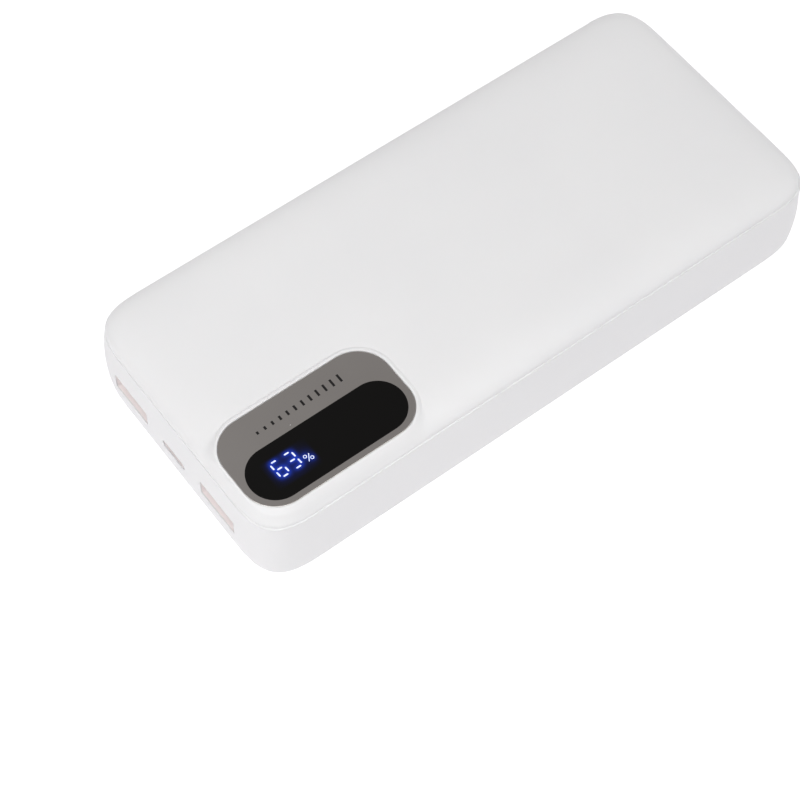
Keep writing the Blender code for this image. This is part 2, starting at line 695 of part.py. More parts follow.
def build_switch():
    body = switch_box("switch_body", -29.25, -25.8, BLACK, edge=0.12)
    cut(body, button_rod("switch_bore", -30.0, radius=1.8, height=2.95, sides=28))
    plate = switch_box("switch_plate", -29.60, -29.35, STEEL)
    cut(plate, button_rod("plate_hole", -31.0, radius=1.32, height=3.0))
    stem = button_rod("switch_stem", -31.10, radius=1.15, height=2.4, mat=BLACK)
    join(
        stem,
        button_rod("stem_collar", -29.22, radius=1.6, height=0.6),
        button_rod("stem_tip", -28.9, radius=0.6, height=0.9, sides=16),
    )
    shade(stem)


def build_switch_dome():
    """Snap dome: a shallow thin cap near the floor of the switch bore, turned round X."""
    outer = []
    for i in range(DOME_STEPS + 1):
        along = i / DOME_STEPS
        radius = DOME_R * (1 - along) + DOME_TOP_R * along
        outer.append((radius, DOME_H * math.sin(along * math.pi / 2)))
    inner = [(radius - 0.02, height - 0.14) for radius, height in outer]
    # Points all but on the axis, merged there once the profile is turned.
    tips = [(0.0001, side[-1][1] + 0.01) for side in (outer, inner)]
    profile = outer + tips + inner[::-1]

    dome = bmesh.new()
    grid = []
    for i in range(DOME_SIDES):
        angle = 2 * math.pi * i / DOME_SIDES
        grid.append([
            dome.verts.new((DOME_X - height,
                            BUTTON_Y + radius * math.cos(angle),
                            BUTTON_Z + radius * math.sin(angle)))
            for radius, height in profile
        ])
    for i, here in enumerate(grid):
        there = grid[(i + 1) % DOME_SIDES]
        for j in range(len(profile)):
            k = (j + 1) % len(profile)
            dome.faces.new((here[j], there[j], there[k], here[k]))
    bmesh.ops.remove_doubles(dome, verts=dome.verts, dist=0.001)
    from_bmesh("switch_dome", dome, NICKEL)


# ---------------------------------------------------------------- battery
CELL_X = 29.5                    # half width
CELL_Y0, CELL_Y1 = -41.0, 70.0
CELL_T = 9.0
CELLS = (("lower", 2.25), ("upper", 11.65))              # label, underside
POLES = (("negative", -12.0), ("positive", 12.0))        # label, x
TERRACE_L = 4.0                  # how far the terrace stands out of the cell body
TERRACE_HALF_T = 1.2
# name, half width, (y0, y1), (z0, z1), material
CELL_PADS = (
    ("cell_tape_bottom", 24.0, (-30.0, 62.0), (1.92, 2.12), TAPE),
    ("cell_tape_middle", 25.0, (-33.0, 66.0), (11.36, 11.54), TAPE),
    ("cell_foam_top", 24.0, (-28.0, 64.0), (20.8, 21.7), FOAM),
)
WIRE_R = 0.75
POSITIVE_KNOTS = (
    (12.0, -44.35, 14.2), (12.0, -45.6, 13.9), (12.1, -46.7, 12.4),
    (12.2, -47.0, 10.3), (12.2, -47.0, 8.4), (12.2, -47.0, 6.78),
)
NEGATIVE_KNOTS = (
    (-12.0, -44.35, 15.2), (-12.1, -45.6, 14.9), (-13.2, -46.9, 13.4), (-15.4, -47.4, 11.6),
    (-17.1, -47.45, 9.8), (-17.8, -47.4, 8.2), (-17.8, -47.4, 6.78),
)


def build_cell(label, bottom):
    """A flat pouch cell with a thinner terrace at the tab end, and its two tabs."""
    name = f"battery_cell_{label}"
    body_y0 = CELL_Y0 + TERRACE_L
    middle = bottom + CELL_T / 2
    outline = rounded(2 * CELL_X, CELL_Y1 - body_y0, radius=3.0, steps=4,
                      at=(0, (body_y0 + CELL_Y1) / 2))
    body = slab(name, outline, bottom, bottom + CELL_T, POUCH)
    join(body, box(name + "_terrace",
                   (-CELL_X + 1.5, CELL_Y0, middle - TERRACE_HALF_T),
                   (CELL_X - 1.5, CELL_Y0 + 6.0, middle + TERRACE_HALF_T)))
    edge = bevel(body, 0.9, 2)
    edge.limit_method = "ANGLE"
    edge.angle_limit = math.radians(60)
    shade(body)
    for pole, x in POLES:
        box(f"tab_{label}_{pole}", (x - 2.0, -43.1, middle - 0.1),
            (x + 2.0, CELL_Y0 - 0.12, middle + 0.1), NICKEL)


def build_cell_pads():
    for name, half, (y0, y1), (z0, z1), mat in CELL_PADS:
        box(name, (-half, y0, z0), (half, y1, z1), mat)


def build_battery_leads():
    for pole, x in POLES:
        box(f"bus_strip_{pole}", (x - 2.6, -43.45, 5.9), (x + 2.6, -43.25, 17.2), NICKEL)
    wire("battery_wire_positive", POSITIVE_KNOTS, WIRE_R, RED)
    wire("battery_wire_negative", NEGATIVE_KNOTS, WIRE_R, DARK)


# ---------------------------------------------------------------- build
build_bottom_case()
build_top_cover()
build_lens()
build_display_board()
build_digits()
build_display_ribbon()
build_main_board()
build_board_parts()
for port_label, port_x in zip(SIDES, USB_A_X):
    build_usb_a(port_label, port_x)
build_usb_c()
build_button_cap()
build_switch()
build_switch_dome()
for cell_label, cell_bottom in CELLS:
    build_cell(cell_label, cell_bottom)
build_cell_pads()
build_battery_leads()
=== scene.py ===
"""White power bank lying flat, display up.

Frame: X runs across the body, Y along it and Z up from the table. The three USB ports are in
the -Y end, the button is in the -X side, and the lit digits are near the +X, -Y corner of the
display. Shapes are worked out in millimetres and turned into metres when a mesh is made.
"""

import json
import math

import bmesh
import bpy
import numpy as np
from mathutils import Matrix, Vector
from mathutils.geometry import delaunay_2d_cdt


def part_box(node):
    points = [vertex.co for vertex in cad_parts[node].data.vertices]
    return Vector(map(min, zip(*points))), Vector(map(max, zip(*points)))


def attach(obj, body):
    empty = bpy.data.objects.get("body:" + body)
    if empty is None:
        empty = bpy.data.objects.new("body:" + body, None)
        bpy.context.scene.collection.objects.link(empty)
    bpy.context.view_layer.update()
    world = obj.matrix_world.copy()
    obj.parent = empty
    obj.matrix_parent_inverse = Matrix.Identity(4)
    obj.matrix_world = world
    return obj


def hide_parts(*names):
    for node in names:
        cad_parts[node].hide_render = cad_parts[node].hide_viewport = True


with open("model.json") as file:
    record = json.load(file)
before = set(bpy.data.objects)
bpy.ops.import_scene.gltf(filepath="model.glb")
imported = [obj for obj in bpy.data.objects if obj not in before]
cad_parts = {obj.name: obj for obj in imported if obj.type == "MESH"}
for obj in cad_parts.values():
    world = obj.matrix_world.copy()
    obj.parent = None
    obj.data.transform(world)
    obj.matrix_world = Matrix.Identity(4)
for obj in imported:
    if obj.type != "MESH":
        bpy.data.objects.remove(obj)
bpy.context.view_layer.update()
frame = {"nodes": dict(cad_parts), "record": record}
MM = 0.001


def mm_box(node, move=0.0):
    """Low and high corner of a CAD piece, in millimetres."""
    return np.array([list(corner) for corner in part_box(node)]) * 1000 + move


# ================================================================ sizes, in millimetres
BODY_W, BODY_L = 67.2, 151.1
PART_Z, TOP_Z = 20.3, 23.7                 # parting of the two halves, crown of the cover
WALL = 1.8
CORNER, CORNER_POWER = 15.9, 3.9           # superellipse corners of the plan outline
SIDE_BULGE, SIDE_DRAFT, FOOT_R = 0.57, 0.64, 2.4
ROLL_IN, ROLL_POWER = 12.0, 2.50           # the cover's roll: steep at the seam, then a soft crown

LENS_LOW, LENS_HIGH = mm_box("display_lens")
LENS_C = (LENS_LOW + LENS_HIGH)[:2] / 2
LENS_W, LENS_L = (LENS_HIGH - LENS_LOW)[:2]
LENS_R, LENS_EDGE = 7.9, 0.08
POCKET_W, POCKET_L, POCKET_R = LENS_W + 0.20, LENS_L + 0.20, LENS_R + 0.10
HOUSE_LOW, HOUSE_HIGH = mm_box("digit_housing")

# The raised rim round the display pocket
RIM_Z = mm_box("top_cover")[1][2]
RIM_CREST = RIM_Z - 0.012
RIM_FILLET, RIM_FLAT, RIM_ROUND, RIM_BLEND = 0.06, 0.12, 0.95, 0.60

CAP_LOW, CAP_HIGH = mm_box("button_cap")
BUTTON_Y, BUTTON_Z = ((CAP_LOW + CAP_HIGH) / 2)[1:]
BUTTON_L, BUTTON_H, BUTTON_GAP = 11.0, 3.6, 0.25

# The visible ports stand right behind the skin and a little higher than the CAD's.
MOVE = {
    "left": np.array((-0.40, -1.812, 0.55)),
    "right": np.array((0.0, -1.812, 0.50)),
    "c": np.array((-0.30, -1.812, 0.58)),
}
SHELL = {
    "left": mm_box("usb_a_shell_left", MOVE["left"]),
    "right": mm_box("usb_a_shell_right", MOVE["right"]),
    "c": mm_box("usb_c_shell", MOVE["c"]),
}

# On the +X and +Y sides the cover ends in a thin lip that meets the tub's rim. On the other two
# the halves are flush, with a fine groove between them.
COVER_IN, TUB_OUT, LIP_OUT = -0.03, 0.05, 0.33
LIP_TOP, LIP_ROUND, LIP_EDGE = PART_Z + 0.46, 0.10, 0.24
LIP_TURN = LIP_TOP + LIP_ROUND
SEAM_TOP, SEAM_LOW = PART_Z + 0.210, PART_Z + 0.204
GROOVE_TOP, GROOVE_LOW, GROOVE_R = PART_Z - 0.44, PART_Z - 0.58, 0.08
TUB_END = GROOVE_LOW - GROOVE_R            # where the flush wall starts to turn into the groove


# ================================================================ mesh helpers
def shade(mesh, sharp=None):
    """Smooth shading, with edges above an angle in degrees kept sharp."""
    mesh.shade_smooth()
    if sharp:
        mesh.set_sharp_from_angle(angle=math.radians(sharp))


def link_object(name, mesh):
    obj = bpy.data.objects.new(name, mesh)
    bpy.context.scene.collection.objects.link(obj)
    return obj


def make(name, verts, faces, materials, face_slots=None, smooth=True, sharp=None):
    """A mesh piece from millimetre points."""
    mesh = bpy.data.meshes.new(name)
    points = [tuple(float(value) * MM for value in vert) for vert in verts]
    mesh.from_pydata(points, [], [tuple(face) for face in faces])
    for material in materials:
        mesh.materials.append(material)
    if face_slots is not None:
        mesh.polygons.foreach_set("material_index", np.array(face_slots, np.int32))
    mesh.validate()
    if smooth:
        shade(mesh, sharp)
    mesh.update()
    return link_object(name, mesh)


def outward(obj):
    bm = bmesh.new()
    bm.from_mesh(obj.data)
    bmesh.ops.recalc_face_normals(bm, faces=bm.faces)
    bm.to_mesh(obj.data)
    bm.free()
    obj.data.update()
    return obj


def loft(name, rows, material, closed=False, **shading):
    """Skin through rings of equal count, capped at both ends, or joined end to end if closed."""
    count = len(rows[0])
    total = count * len(rows)
    faces = []
    for start in range(0, total if closed else total - count, count):
        after = (start + count) % total
        for i in range(count):
            j = (i + 1) % count
            faces.append([start + i, start + j, after + j, after + i])
    if not closed:
        faces.append(list(range(count))[::-1])
        faces.append(list(range(total - count, total)))
    return outward(make(name, np.concatenate(rows), faces, [material], **shading))


def strip(name, sections, material):
    """Flat strip along Y. Sections are (x_low, x_high, y, z_low, z_high)."""
    rows = [np.array([(x_low, y, z_low), (x_high, y, z_low), (x_high, y, z_high), (x_low, y, z_high)])
            for x_low, x_high, y, z_low, z_high in sections]
    return loft(name, rows, material, sharp=50)


def block(name, low, high, material, bevel=0.15):
    """Moulded block with rounded edges."""
    bm = bmesh.new()
    bmesh.ops.create_cube(bm, size=1.0)
    for vert in bm.verts:
        vert.co = Vector([(low[k] + high[k]) / 2 + vert.co[k] * (high[k] - low[k])
                          for k in range(3)]) * MM
    bmesh.ops.bevel(bm, geom=bm.edges[:], offset=bevel * MM, segments=3, affect="EDGES",
                    profile=0.5, clamp_overlap=True)
    mesh = bpy.data.meshes.new(name)
    bm.to_mesh(mesh)
    bm.free()
    mesh.materials.append(material)
    shade(mesh, 50)
    return link_object(name, mesh)


def cut_with(obj, cutters, operation="DIFFERENCE"):
    """Applies boolean cuts and removes the cutters."""
    for cutter in cutters:
        modifier = obj.modifiers.new("cut", "BOOLEAN")
        modifier.operation = operation
        modifier.solver = "EXACT"
        modifier.object = cutter
    bpy.context.view_layer.update()
    graph = bpy.context.evaluated_depsgraph_get()
    mesh = bpy.data.meshes.new_from_object(obj.evaluated_get(graph))
    obj.modifiers.clear()
    old = obj.data
    obj.data = mesh
    bpy.data.meshes.remove(old)
    for cutter in cutters:
        bpy.data.objects.remove(cutter, do_unlink=True)


def fit(obj, node, part="root"):
    """Puts a piece in the place of a CAD node, or adds it when node is None."""
    if node:
        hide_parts(node)
    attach(obj, part)


def triangulate(loops, loose, tolerance):
    """Triangles through closed loops and loose points: plan points, faces, new index by old."""
    points, edges = [], []
    for loop in loops:
        first = len(points)
        points += [Vector(point) for point in loop]
        edges += [(first + i, first + (i + 1) % len(loop)) for i in range(len(loop))]
    for group in loose:
        points += [Vector(point) for point in group]
    found, _, faces, came_from, _, _ = delaunay_2d_cdt(points, edges, [], 1, tolerance)
    becomes = {old: new for new, olds in enumerate(came_from) for old in olds}
    return np.array([(point.x, point.y) for point in found]), faces, becomes


def unit(vectors):
    return vectors / np.maximum(np.linalg.norm(vectors, axis=-1, keepdims=True), 1e-9)


def corner_normals(mesh):
    normals = np.empty(len(mesh.loops) * 3)
    mesh.corner_normals.foreach_get("vector", normals)
    return normals.reshape(-1, 3)


def rounded_rectangle(width, height, radius, steps=7, centre=(0.0, 0.0)):
    """Points in two coordinates, counter-clockwise."""
    points = []
    for turn, (side_x, side_y) in enumerate(((1, 1), (-1, 1), (-1, -1), (1, -1))):
        for i in range(steps + 1):
            angle = math.radians(90 * (turn + i / steps))
            points.append((side_x * (width / 2 - radius) + radius * math.cos(angle),
                           side_y * (height / 2 - radius) + radius * math.sin(angle)))
    return np.array(points) + np.array(centre)


# ================================================================ plan outlines
N_LONG, N_SHORT, N_CORNER = 96, 36, 30
COUNT = 2 * (N_LONG + N_SHORT) + 4 * N_CORNER


def superellipse(angles, power):
    return np.cos(angles) ** (2 / power), np.sin(angles) ** (2 / power)


def corner_angles(power, count):
    """Angles that space a superellipse quarter evenly, without its last point."""
    angles = np.linspace(0, math.pi / 2, 4001)
    points = np.stack(superellipse(angles, power), 1)
    run = np.concatenate([[0], np.cumsum(np.linalg.norm(np.diff(points, axis=0), axis=1))])
    return np.interp(np.linspace(0, run[-1], count + 1)[:-1], run, angles)


def outline(half_w, half_l, corner, power, inset=0.0, centre=(0.0, 0.0)):
    """Ring of COUNT points: +X side going +Y, then round. All share the same order."""
    flat_x, flat_y, radius = half_w - corner, half_l - corner, corner - inset
    side_x, side_y = flat_x + radius, flat_y + radius
    wide, narrow = superellipse(corner_angles(power, N_CORNER), power)
    wide, narrow = radius * wide, radius * narrow
    long_y = np.linspace(-1, 1, N_LONG + 1)[:-1] * flat_y
    short_x = np.linspace(-1, 1, N_SHORT + 1)[:-1] * flat_x
    parts = [
        np.stack([np.full(N_LONG, side_x), long_y], 1),
        np.stack([flat_x + wide, flat_y + narrow], 1),
        np.stack([-short_x, np.full(N_SHORT, side_y)], 1),
        np.stack([-flat_x - narrow, flat_y + wide], 1),
        np.stack([np.full(N_LONG, -side_x), -long_y], 1),
        np.stack([-flat_x - wide, -flat_y - narrow], 1),
        np.stack([short_x, np.full(N_SHORT, -side_y)], 1),
        np.stack([flat_x + narrow, -flat_y - wide], 1),
    ]
    return np.concatenate(parts) + np.array(centre)


def body_outline(inset):
    return outline(BODY_W / 2, BODY_L / 2, CORNER, CORNER_POWER, inset)


def pocket_outline(grow=0.0):
    return outline(POCKET_W / 2, POCKET_L / 2, POCKET_R, 2.0, -grow, LENS_C)


def at_height(points, z):
    return np.column_stack([points, np.full(len(points), z)])


def body_ring(inset, z):
    return at_height(body_outline(inset), z)


def flush_share(x, y):
    """1 where the two halves are flush, 0 where the lip stands out."""
    return ease(np.clip((24.0 - x) / 5.0, 0, 1) * np.clip((66.0 - y) / 6.0, 0, 1))


def mixed_ring(lip_inset, lip_z, flush_inset, flush_z):
    """Ring that follows the lip's section on two sides and the flush section on the others."""
    plan = body_outline(0.0)
    share = flush_share(plan[:, 0], plan[:, 1])[:, None]
    return body_ring(lip_inset, lip_z) * (1 - share) + body_ring(flush_inset, flush_z) * share


# ================================================================ surface of the body
def ease(value):
    """Smooth step from 0 to 1."""
    share = np.clip(value, 0, 1)
    return share * share * (3 - 2 * share)


def side_inset(z):
    drop = np.clip((PART_Z - z) / (PART_Z - FOOT_R), 0, 1)
    return -(SIDE_BULGE * 4 * drop * (1 - drop) + SIDE_DRAFT * drop)


def tub_inset(z, flush=0.0):
    """The side wall, which flares out slightly under its rim; flush is 1 where halves are flush."""
    rise = np.clip(1 - (PART_Z - z) / 5.0, 0, 1.1)
    flare = LIP_OUT * (1 - flush) - (TUB_OUT + COVER_IN) * flush
    return side_inset(z) - TUB_OUT - flare * rise * rise


def roll_z(inset):
    """Height of the rolled top at a given inset from the body's outline."""
    out = np.clip(1 - (inset - COVER_IN) / (ROLL_IN - COVER_IN), 0, 1)
    return PART_Z + (TOP_Z - PART_Z) * np.clip(1 - out**ROLL_POWER, 0, 1) ** (1 / ROLL_POWER)


def roll_inset(z):
    """Inset of the rolled top at a given height."""
    rise = np.clip((z - PART_Z) / (TOP_Z - PART_Z), 0, 1)
    return COVER_IN + (ROLL_IN - COVER_IN) * (1 - (1 - rise**ROLL_POWER) ** (1 / ROLL_POWER))


def inset_of(x, y):
    """Inset of a point from the body's plan outline."""
    past_x = np.maximum(np.abs(x) - (BODY_W / 2 - CORNER), 0)
    past_y = np.maximum(np.abs(y) - (BODY_L / 2 - CORNER), 0)
    return CORNER - (past_x**CORNER_POWER + past_y**CORNER_POWER) ** (1 / CORNER_POWER)


def pocket_distance(x, y):
    """Signed distance outside the display pocket's outline."""
    past_x = np.abs(x - LENS_C[0]) - (POCKET_W / 2 - POCKET_R)
    past_y = np.abs(y - LENS_C[1]) - (POCKET_L / 2 - POCKET_R)
    outside = np.hypot(np.maximum(past_x, 0), np.maximum(past_y, 0))
    return outside + np.minimum(np.maximum(past_x, past_y), 0) - POCKET_R


# Sine of the rim flank's angle, and how much it loses where the top already rolls down:
# the loss starts at LOW_START of rim height over the roll and is full LOW_SPAN above that.
FLANK_SINE, FLANK_LOSS = 0.93, 0.31
LOW_START, LOW_SPAN = 0.35, 0.5
# The rim is held off the body's edge: it fades in from this inset, over this width.
EDGE_START, EDGE_SPAN = 0.26, 1.35
# The plateau alone decides up to this distance from the pocket, then blends out over this width.
PLATEAU, PLATEAU_SPAN = 0.10, 0.5
CEILING_GAP = 0.005


def rim_height(away, sine):
    """The rim's own profile, by distance from the pocket; sine is of its flank's angle."""
    inner = np.clip(RIM_FILLET - away, 0, RIM_FILLET)
    z = RIM_CREST - (RIM_FILLET - np.sqrt(np.maximum(RIM_FILLET**2 - inner**2, 0)))
    past = np.clip(away - RIM_FLAT, 0, None)
    near = np.minimum(past, RIM_ROUND * sine)
    drop = RIM_ROUND - np.sqrt(RIM_ROUND**2 - near**2)
    slope = sine / np.sqrt(1 - sine**2)
    return z - drop - np.maximum(past - RIM_ROUND * sine, 0) * slope


def smooth_max(first, second, width):
    share = np.clip(0.5 + 0.5 * (first - second) / width, 0, 1)
    return second + (first - second) * share + width * share * (1 - share)


def top_height(x, y):
    """Height of the cover's outer face."""
    away = pocket_distance(x, y)
    inset = inset_of(x, y)
    roll = roll_z(inset)
    low = ease((RIM_Z - roll - LOW_START) / LOW_SPAN)
    rim = rim_height(np.maximum(away, 0), FLANK_SINE - FLANK_LOSS * low)
    mixed = smooth_max(roll, rim, RIM_BLEND)
    mixed = roll + (mixed - roll) * ease((inset - EDGE_START) / EDGE_SPAN)
    share = ease((away - PLATEAU) / PLATEAU_SPAN)
    return np.minimum(rim * (1 - share) + mixed * share, RIM_Z - CEILING_GAP)


def plan_change(function, x, y, step):
    """Change of a function of x and y across two steps, along each axis."""
    return np.stack([function(x + step, y) - function(x - step, y),
                     function(x, y + step) - function(x, y - step)], -1)


def top_normals(x, y):
    """Normals of the cover's outer face, with the rim's inner fillet taken from its circle."""
    step = 0.004
    slope = plan_change(top_height, x, y, step) / (2 * step)
    normals = unit(np.column_stack([-slope, np.ones_like(x)]))
    away = pocket_distance(x, y)
    out = unit(plan_change(pocket_distance, x, y, step))
    lean = np.clip((RIM_FILLET - away) / RIM_FILLET, 0, 1)
    fillet = np.column_stack([-out * lean[:, None], np.sqrt(1 - lean**2)])
    use = away < RIM_FILLET + 1e-6
    normals[use] = fillet[use]
    return normals


def roll_normals(points):
    """Normals of the roll at points on it, by its slope at their height."""
    x, y, z = points.T
    step = 0.002
    slope = (roll_inset(z + step) - roll_inset(z - step)) / (2 * step)
    return unit(np.column_stack([unit(-plan_change(inset_of, x, y, step)), slope]))


def wall_depth(point):
    """How far inside the tub's side wall a point lies."""
    x, y, z = point
    return inset_of(x, y) - tub_inset(z, flush_share(x, y))


def wall_normal(point):
    """Outward normal of the side wall at a point on it."""
    steps = np.eye(3) * 0.01
    return unit(np.array([wall_depth(point - step) - wall_depth(point + step) for step in steps]))


# ================================================================ lit digits
# Positions on the display: x runs down a digit, y along the line.
DIGIT_X, DIGIT_HALF, DIGIT_WIDE, DIGIT_SLANT = 22.16, 2.02, 1.06, 0.073
BAR_WIDTH, BAR_ACROSS, BAR_DOWN = 0.35, 1.26, 1.34
# Bars of a digit: x in half heights, y in half widths, whether the bar lies along y
DIGIT_BARS = {
    "top": (-1, 0, True), "middle": (0, 0, True), "bottom": (1, 0, True),
    "upper_left": (-0.5, -1, False), "upper_right": (-0.5, 1, False),
    "lower_left": (0.5, -1, False), "lower_right": (0.5, 1, False),
}
SIX = ("top", "upper_left", "middle", "lower_left", "lower_right", "bottom")
THREE = ("top", "upper_right", "middle", "lower_right", "bottom")


def lozenge(centre_x, centre_y, length, width, along_y):
    """Pointed bar of a digit, as (x, y) points."""
    half, side = length / 2, width / 2
    if along_y:
        points = [(0, -half), (-side, -half + side), (-side, half - side),
                  (0, half), (side, half - side), (side, -half + side)]
    else:
        points = [(-half, 0), (-half + side, side), (half - side, side),
                  (half, 0), (half - side, -side), (-half + side, -side)]
    return [(centre_x + x, centre_y + y + DIGIT_SLANT * x) for x, y in points]


def digit(centre_y, lit):
    shapes = []
    for name in lit:
        down, side, along = DIGIT_BARS[name]
        x, y = down * DIGIT_HALF, side * DIGIT_WIDE
        shapes.append(lozenge(DIGIT_X + x, centre_y + y + DIGIT_SLANT * x,
                              BAR_ACROSS if along else BAR_DOWN, BAR_WIDTH, along))
    return shapes


LIT = digit(-64.25, SIX) + digit(-61.0, THREE)
PERCENT_DOTS = [(23.02, -58.46), (24.02, -57.32)]
PERCENT_SLASH = [(24.52, -58.30), (24.40, -58.46), (22.72, -57.46), (22.84, -57.30)]


def glow_spots():
    """Soft blue spots round the lit shapes: centre, radii, strength."""
    spots = [((22.2, -64.2), (2.4, 1.8), 0.13), ((22.2, -61.0), (2.4, 1.6), 0.12),
             ((23.3, -58.0), (1.6, 1.4), 0.11), ((22.5, -61.8), (3.4, 4.2), 0.03)]
    for shape in LIT:
        spread_x, spread_y = np.ptp(np.array(shape), axis=0)
        radii = (1.0, 0.62) if spread_x > spread_y else (0.62, 1.0)
        spots.append((tuple(np.array(shape).mean(0)), radii, 0.46))
    return spots + [(dot, (0.75, 0.75), 0.30) for dot in PERCENT_DOTS]


# ================================================================ materials
class Graph:
    """Short calls for building a shader node tree. A value is a number, a colour or a socket."""

    def __init__(self, tree):
        self.tree = tree

    def fill(self, node, inputs):
        for key, value in inputs.items():
            socket = node.inputs[key]
            if isinstance(value, bpy.types.NodeSocket):
                self.tree.links.new(value, socket)
            elif socket.type == "RGBA":
                socket.default_value = (*value, 1.0)
            else:
                socket.default_value = value

    def node(self, kind, inputs=None, **settings):
        node = self.tree.nodes.new("ShaderNode" + kind)
        for key, value in settings.items():
            setattr(node, key, value)
        self.fill(node, inputs or {})
        return node

    def calc(self, operation, first, second):
        return self.node("Math", {0: first, 1: second}, operation=operation).outputs[0]

    def vector(self, operation, inputs):
        node = self.node("VectorMath", inputs, operation=operation)
        return node.outputs["Value" if operation in ("LENGTH", "DOT_PRODUCT") else "Vector"]

    def remap(self, value, span=(0.3, 0.7), to=(0.0, 1.0)):
        """Maps a span to another; the default span is where most noise lies."""
        return self.node("MapRange", {
            "From Min": span[0], "From Max": span[1], "To Min": to[0], "To Max": to[1],
            "Value": value,
        }).outputs["Result"]

    def mix(self, factor, first, second, blend="MIX"):
        return self.node("Mix", {"A": first, "B": second, "Factor": factor},
                         data_type="RGBA", blend_type=blend).outputs["Result"]


class Surface(Graph):
    """A material with its Principled shader; place is the object position in millimetres."""

    def __init__(self, name):
        self.material = bpy.data.materials.new(name)
        self.material.use_nodes = True
        super().__init__(self.material.node_tree)
        self.shader = self.tree.nodes["Principled BSDF"]
        position = self.node("TexCoord").outputs["Object"]
        self.place = self.vector("SCALE", {"Scale": 1000.0, 0: position})

    def set(self, inputs):
        self.fill(self.shader, inputs)

    def noise(self, scale, detail=3.0, roughness=0.5, where=None):
        return self.node("TexNoise", {
            "Scale": scale, "Detail": detail, "Roughness": roughness,
            "Vector": where or self.place,
        }).outputs["Fac"]

    def voronoi(self, scale):
        return self.node("TexVoronoi", {"Scale": scale, "Vector": self.place})

    def specks(self, scale, size):
        """Sparse tiny flecks, 1 inside a fleck."""
        cells = self.voronoi(scale)
        near = self.remap(cells.outputs["Distance"], span=(size * 0.6, size), to=(1.0, 0.0))
        parts = self.node("SeparateColor", {"Color": cells.outputs["Color"]})
        rare = self.calc("GREATER_THAN", parts.outputs["Red"], 0.62)
        return self.calc("MULTIPLY", near, rare)

    def bump(self, height, distance_mm, strength):
        node = self.node("Bump", {
            "Strength": strength, "Distance": distance_mm * MM, "Height": height})
        self.set({"Normal": node.outputs["Normal"]})


def darker(colour, share):
    return tuple(value * (1 - share) for value in colour)


def white_case():
    look = Surface("white_case")
    broad = look.noise(scale=0.035, detail=2.0)
    fine = look.noise(scale=1.6, roughness=0.6)
    grain = look.noise(scale=9.0, detail=2.0, roughness=0.7)
    colour = look.mix(look.remap(broad, span=(0.35, 0.65)),
                      (0.775, 0.773, 0.778), (0.790, 0.788, 0.791))
    spots = look.remap(fine, span=(0.60, 0.85), to=(0.0, 0.25))
    look.set({
        "Base Color": look.mix(spots, colour, (0.765, 0.762, 0.768)),
        "Roughness": look.remap(fine, to=(0.33, 0.41)),
        "IOR": 1.48,
        "Subsurface Weight": 0.12,
        "Subsurface Radius": (1.0, 0.9, 0.85),
        "Subsurface Scale": 0.0012,
    })
    look.bump(grain, distance_mm=0.004, strength=0.5)
    return look.material


def plain(name, colour, rough, vary=0.12, scale=2.0, bump_mm=0.01):
    """A moulded or coated surface with grain, slight tone changes and uneven gloss."""
    look = Surface(name)
    tone = look.noise(scale, detail=4.0, roughness=0.6)
    look.set({
        "Base Color": look.mix(look.remap(tone), darker(colour, vary), colour),
        "Roughness": look.remap(tone, to=(rough * 0.85, min(1.0, rough * 1.15))),
        "Metallic": 0.0,
        "IOR": 1.5,
    })
    look.bump(look.noise(scale * 5, detail=2.0), bump_mm, strength=0.5)
    return look.material


def brushed(name, colour, rough, along=(0.4, 12.0, 12.0), vary=0.10, metal=1.0):
    """Rolled sheet metal with a fine directional grain; along is the grain's scale by axis."""
    look = Surface(name)
    stretched = look.vector("MULTIPLY", {1: along, 0: look.place})
    grain = look.noise(scale=1.0, roughness=0.65, where=stretched)
    look.set({
        "Base Color": look.mix(look.remap(grain), darker(colour, vary), colour),
        "Roughness": look.remap(grain, to=(rough * 0.8, rough * 1.25)),
        "Metallic": metal,
    })
    look.bump(grain, distance_mm=0.003, strength=0.4)
    return look.material


def circuit_board():
    look = Surface("board_mask")
    tracks = look.node("TexBrick", {
        "Scale": 0.16, "Mortar Size": 0.012,
        "Color1": (0.010, 0.105, 0.050), "Color2": (0.013, 0.125, 0.058),
        "Mortar": (0.045, 0.24, 0.12), "Vector": look.place,
    }, offset=0.37)
    dots = look.voronoi(scale=0.35)
    pads = look.remap(dots.outputs["Distance"], span=(0.10, 0.13), to=(1.0, 0.0))
    look.set({
        "Base Color": look.mix(pads, tracks.outputs["Color"], (0.55, 0.50, 0.36)),
        "Roughness": look.remap(pads, span=(0.0, 1.0), to=(0.35, 0.25)),
        "Metallic": pads,
    })
    look.bump(look.noise(scale=3.0), distance_mm=0.01, strength=0.4)
    return look.material


def pouch_foil():
    look = Surface("pouch_foil")
    crease = look.noise(scale=0.12, detail=5.0, roughness=0.55)
    fine = look.noise(scale=6.0, detail=2.0)
    look.set({
        "Base Color": look.mix(look.remap(crease), (0.50, 0.51, 0.53), (0.66, 0.67, 0.69)),
        "Roughness": look.remap(fine, to=(0.26, 0.38)),
        "Metallic": 0.85,
    })
    look.bump(crease, distance_mm=0.25, strength=0.6)
    return look.material


def foam():
    look = Surface("foam_cells")
    cells = look.voronoi(scale=2.5).outputs["Distance"]
    look.set({
        "Base Color": look.mix(cells, (0.012, 0.012, 0.013), (0.05, 0.05, 0.052)),
        "Roughness": 0.95,
    })
    look.bump(cells, distance_mm=0.15, strength=0.8)
    return look.material


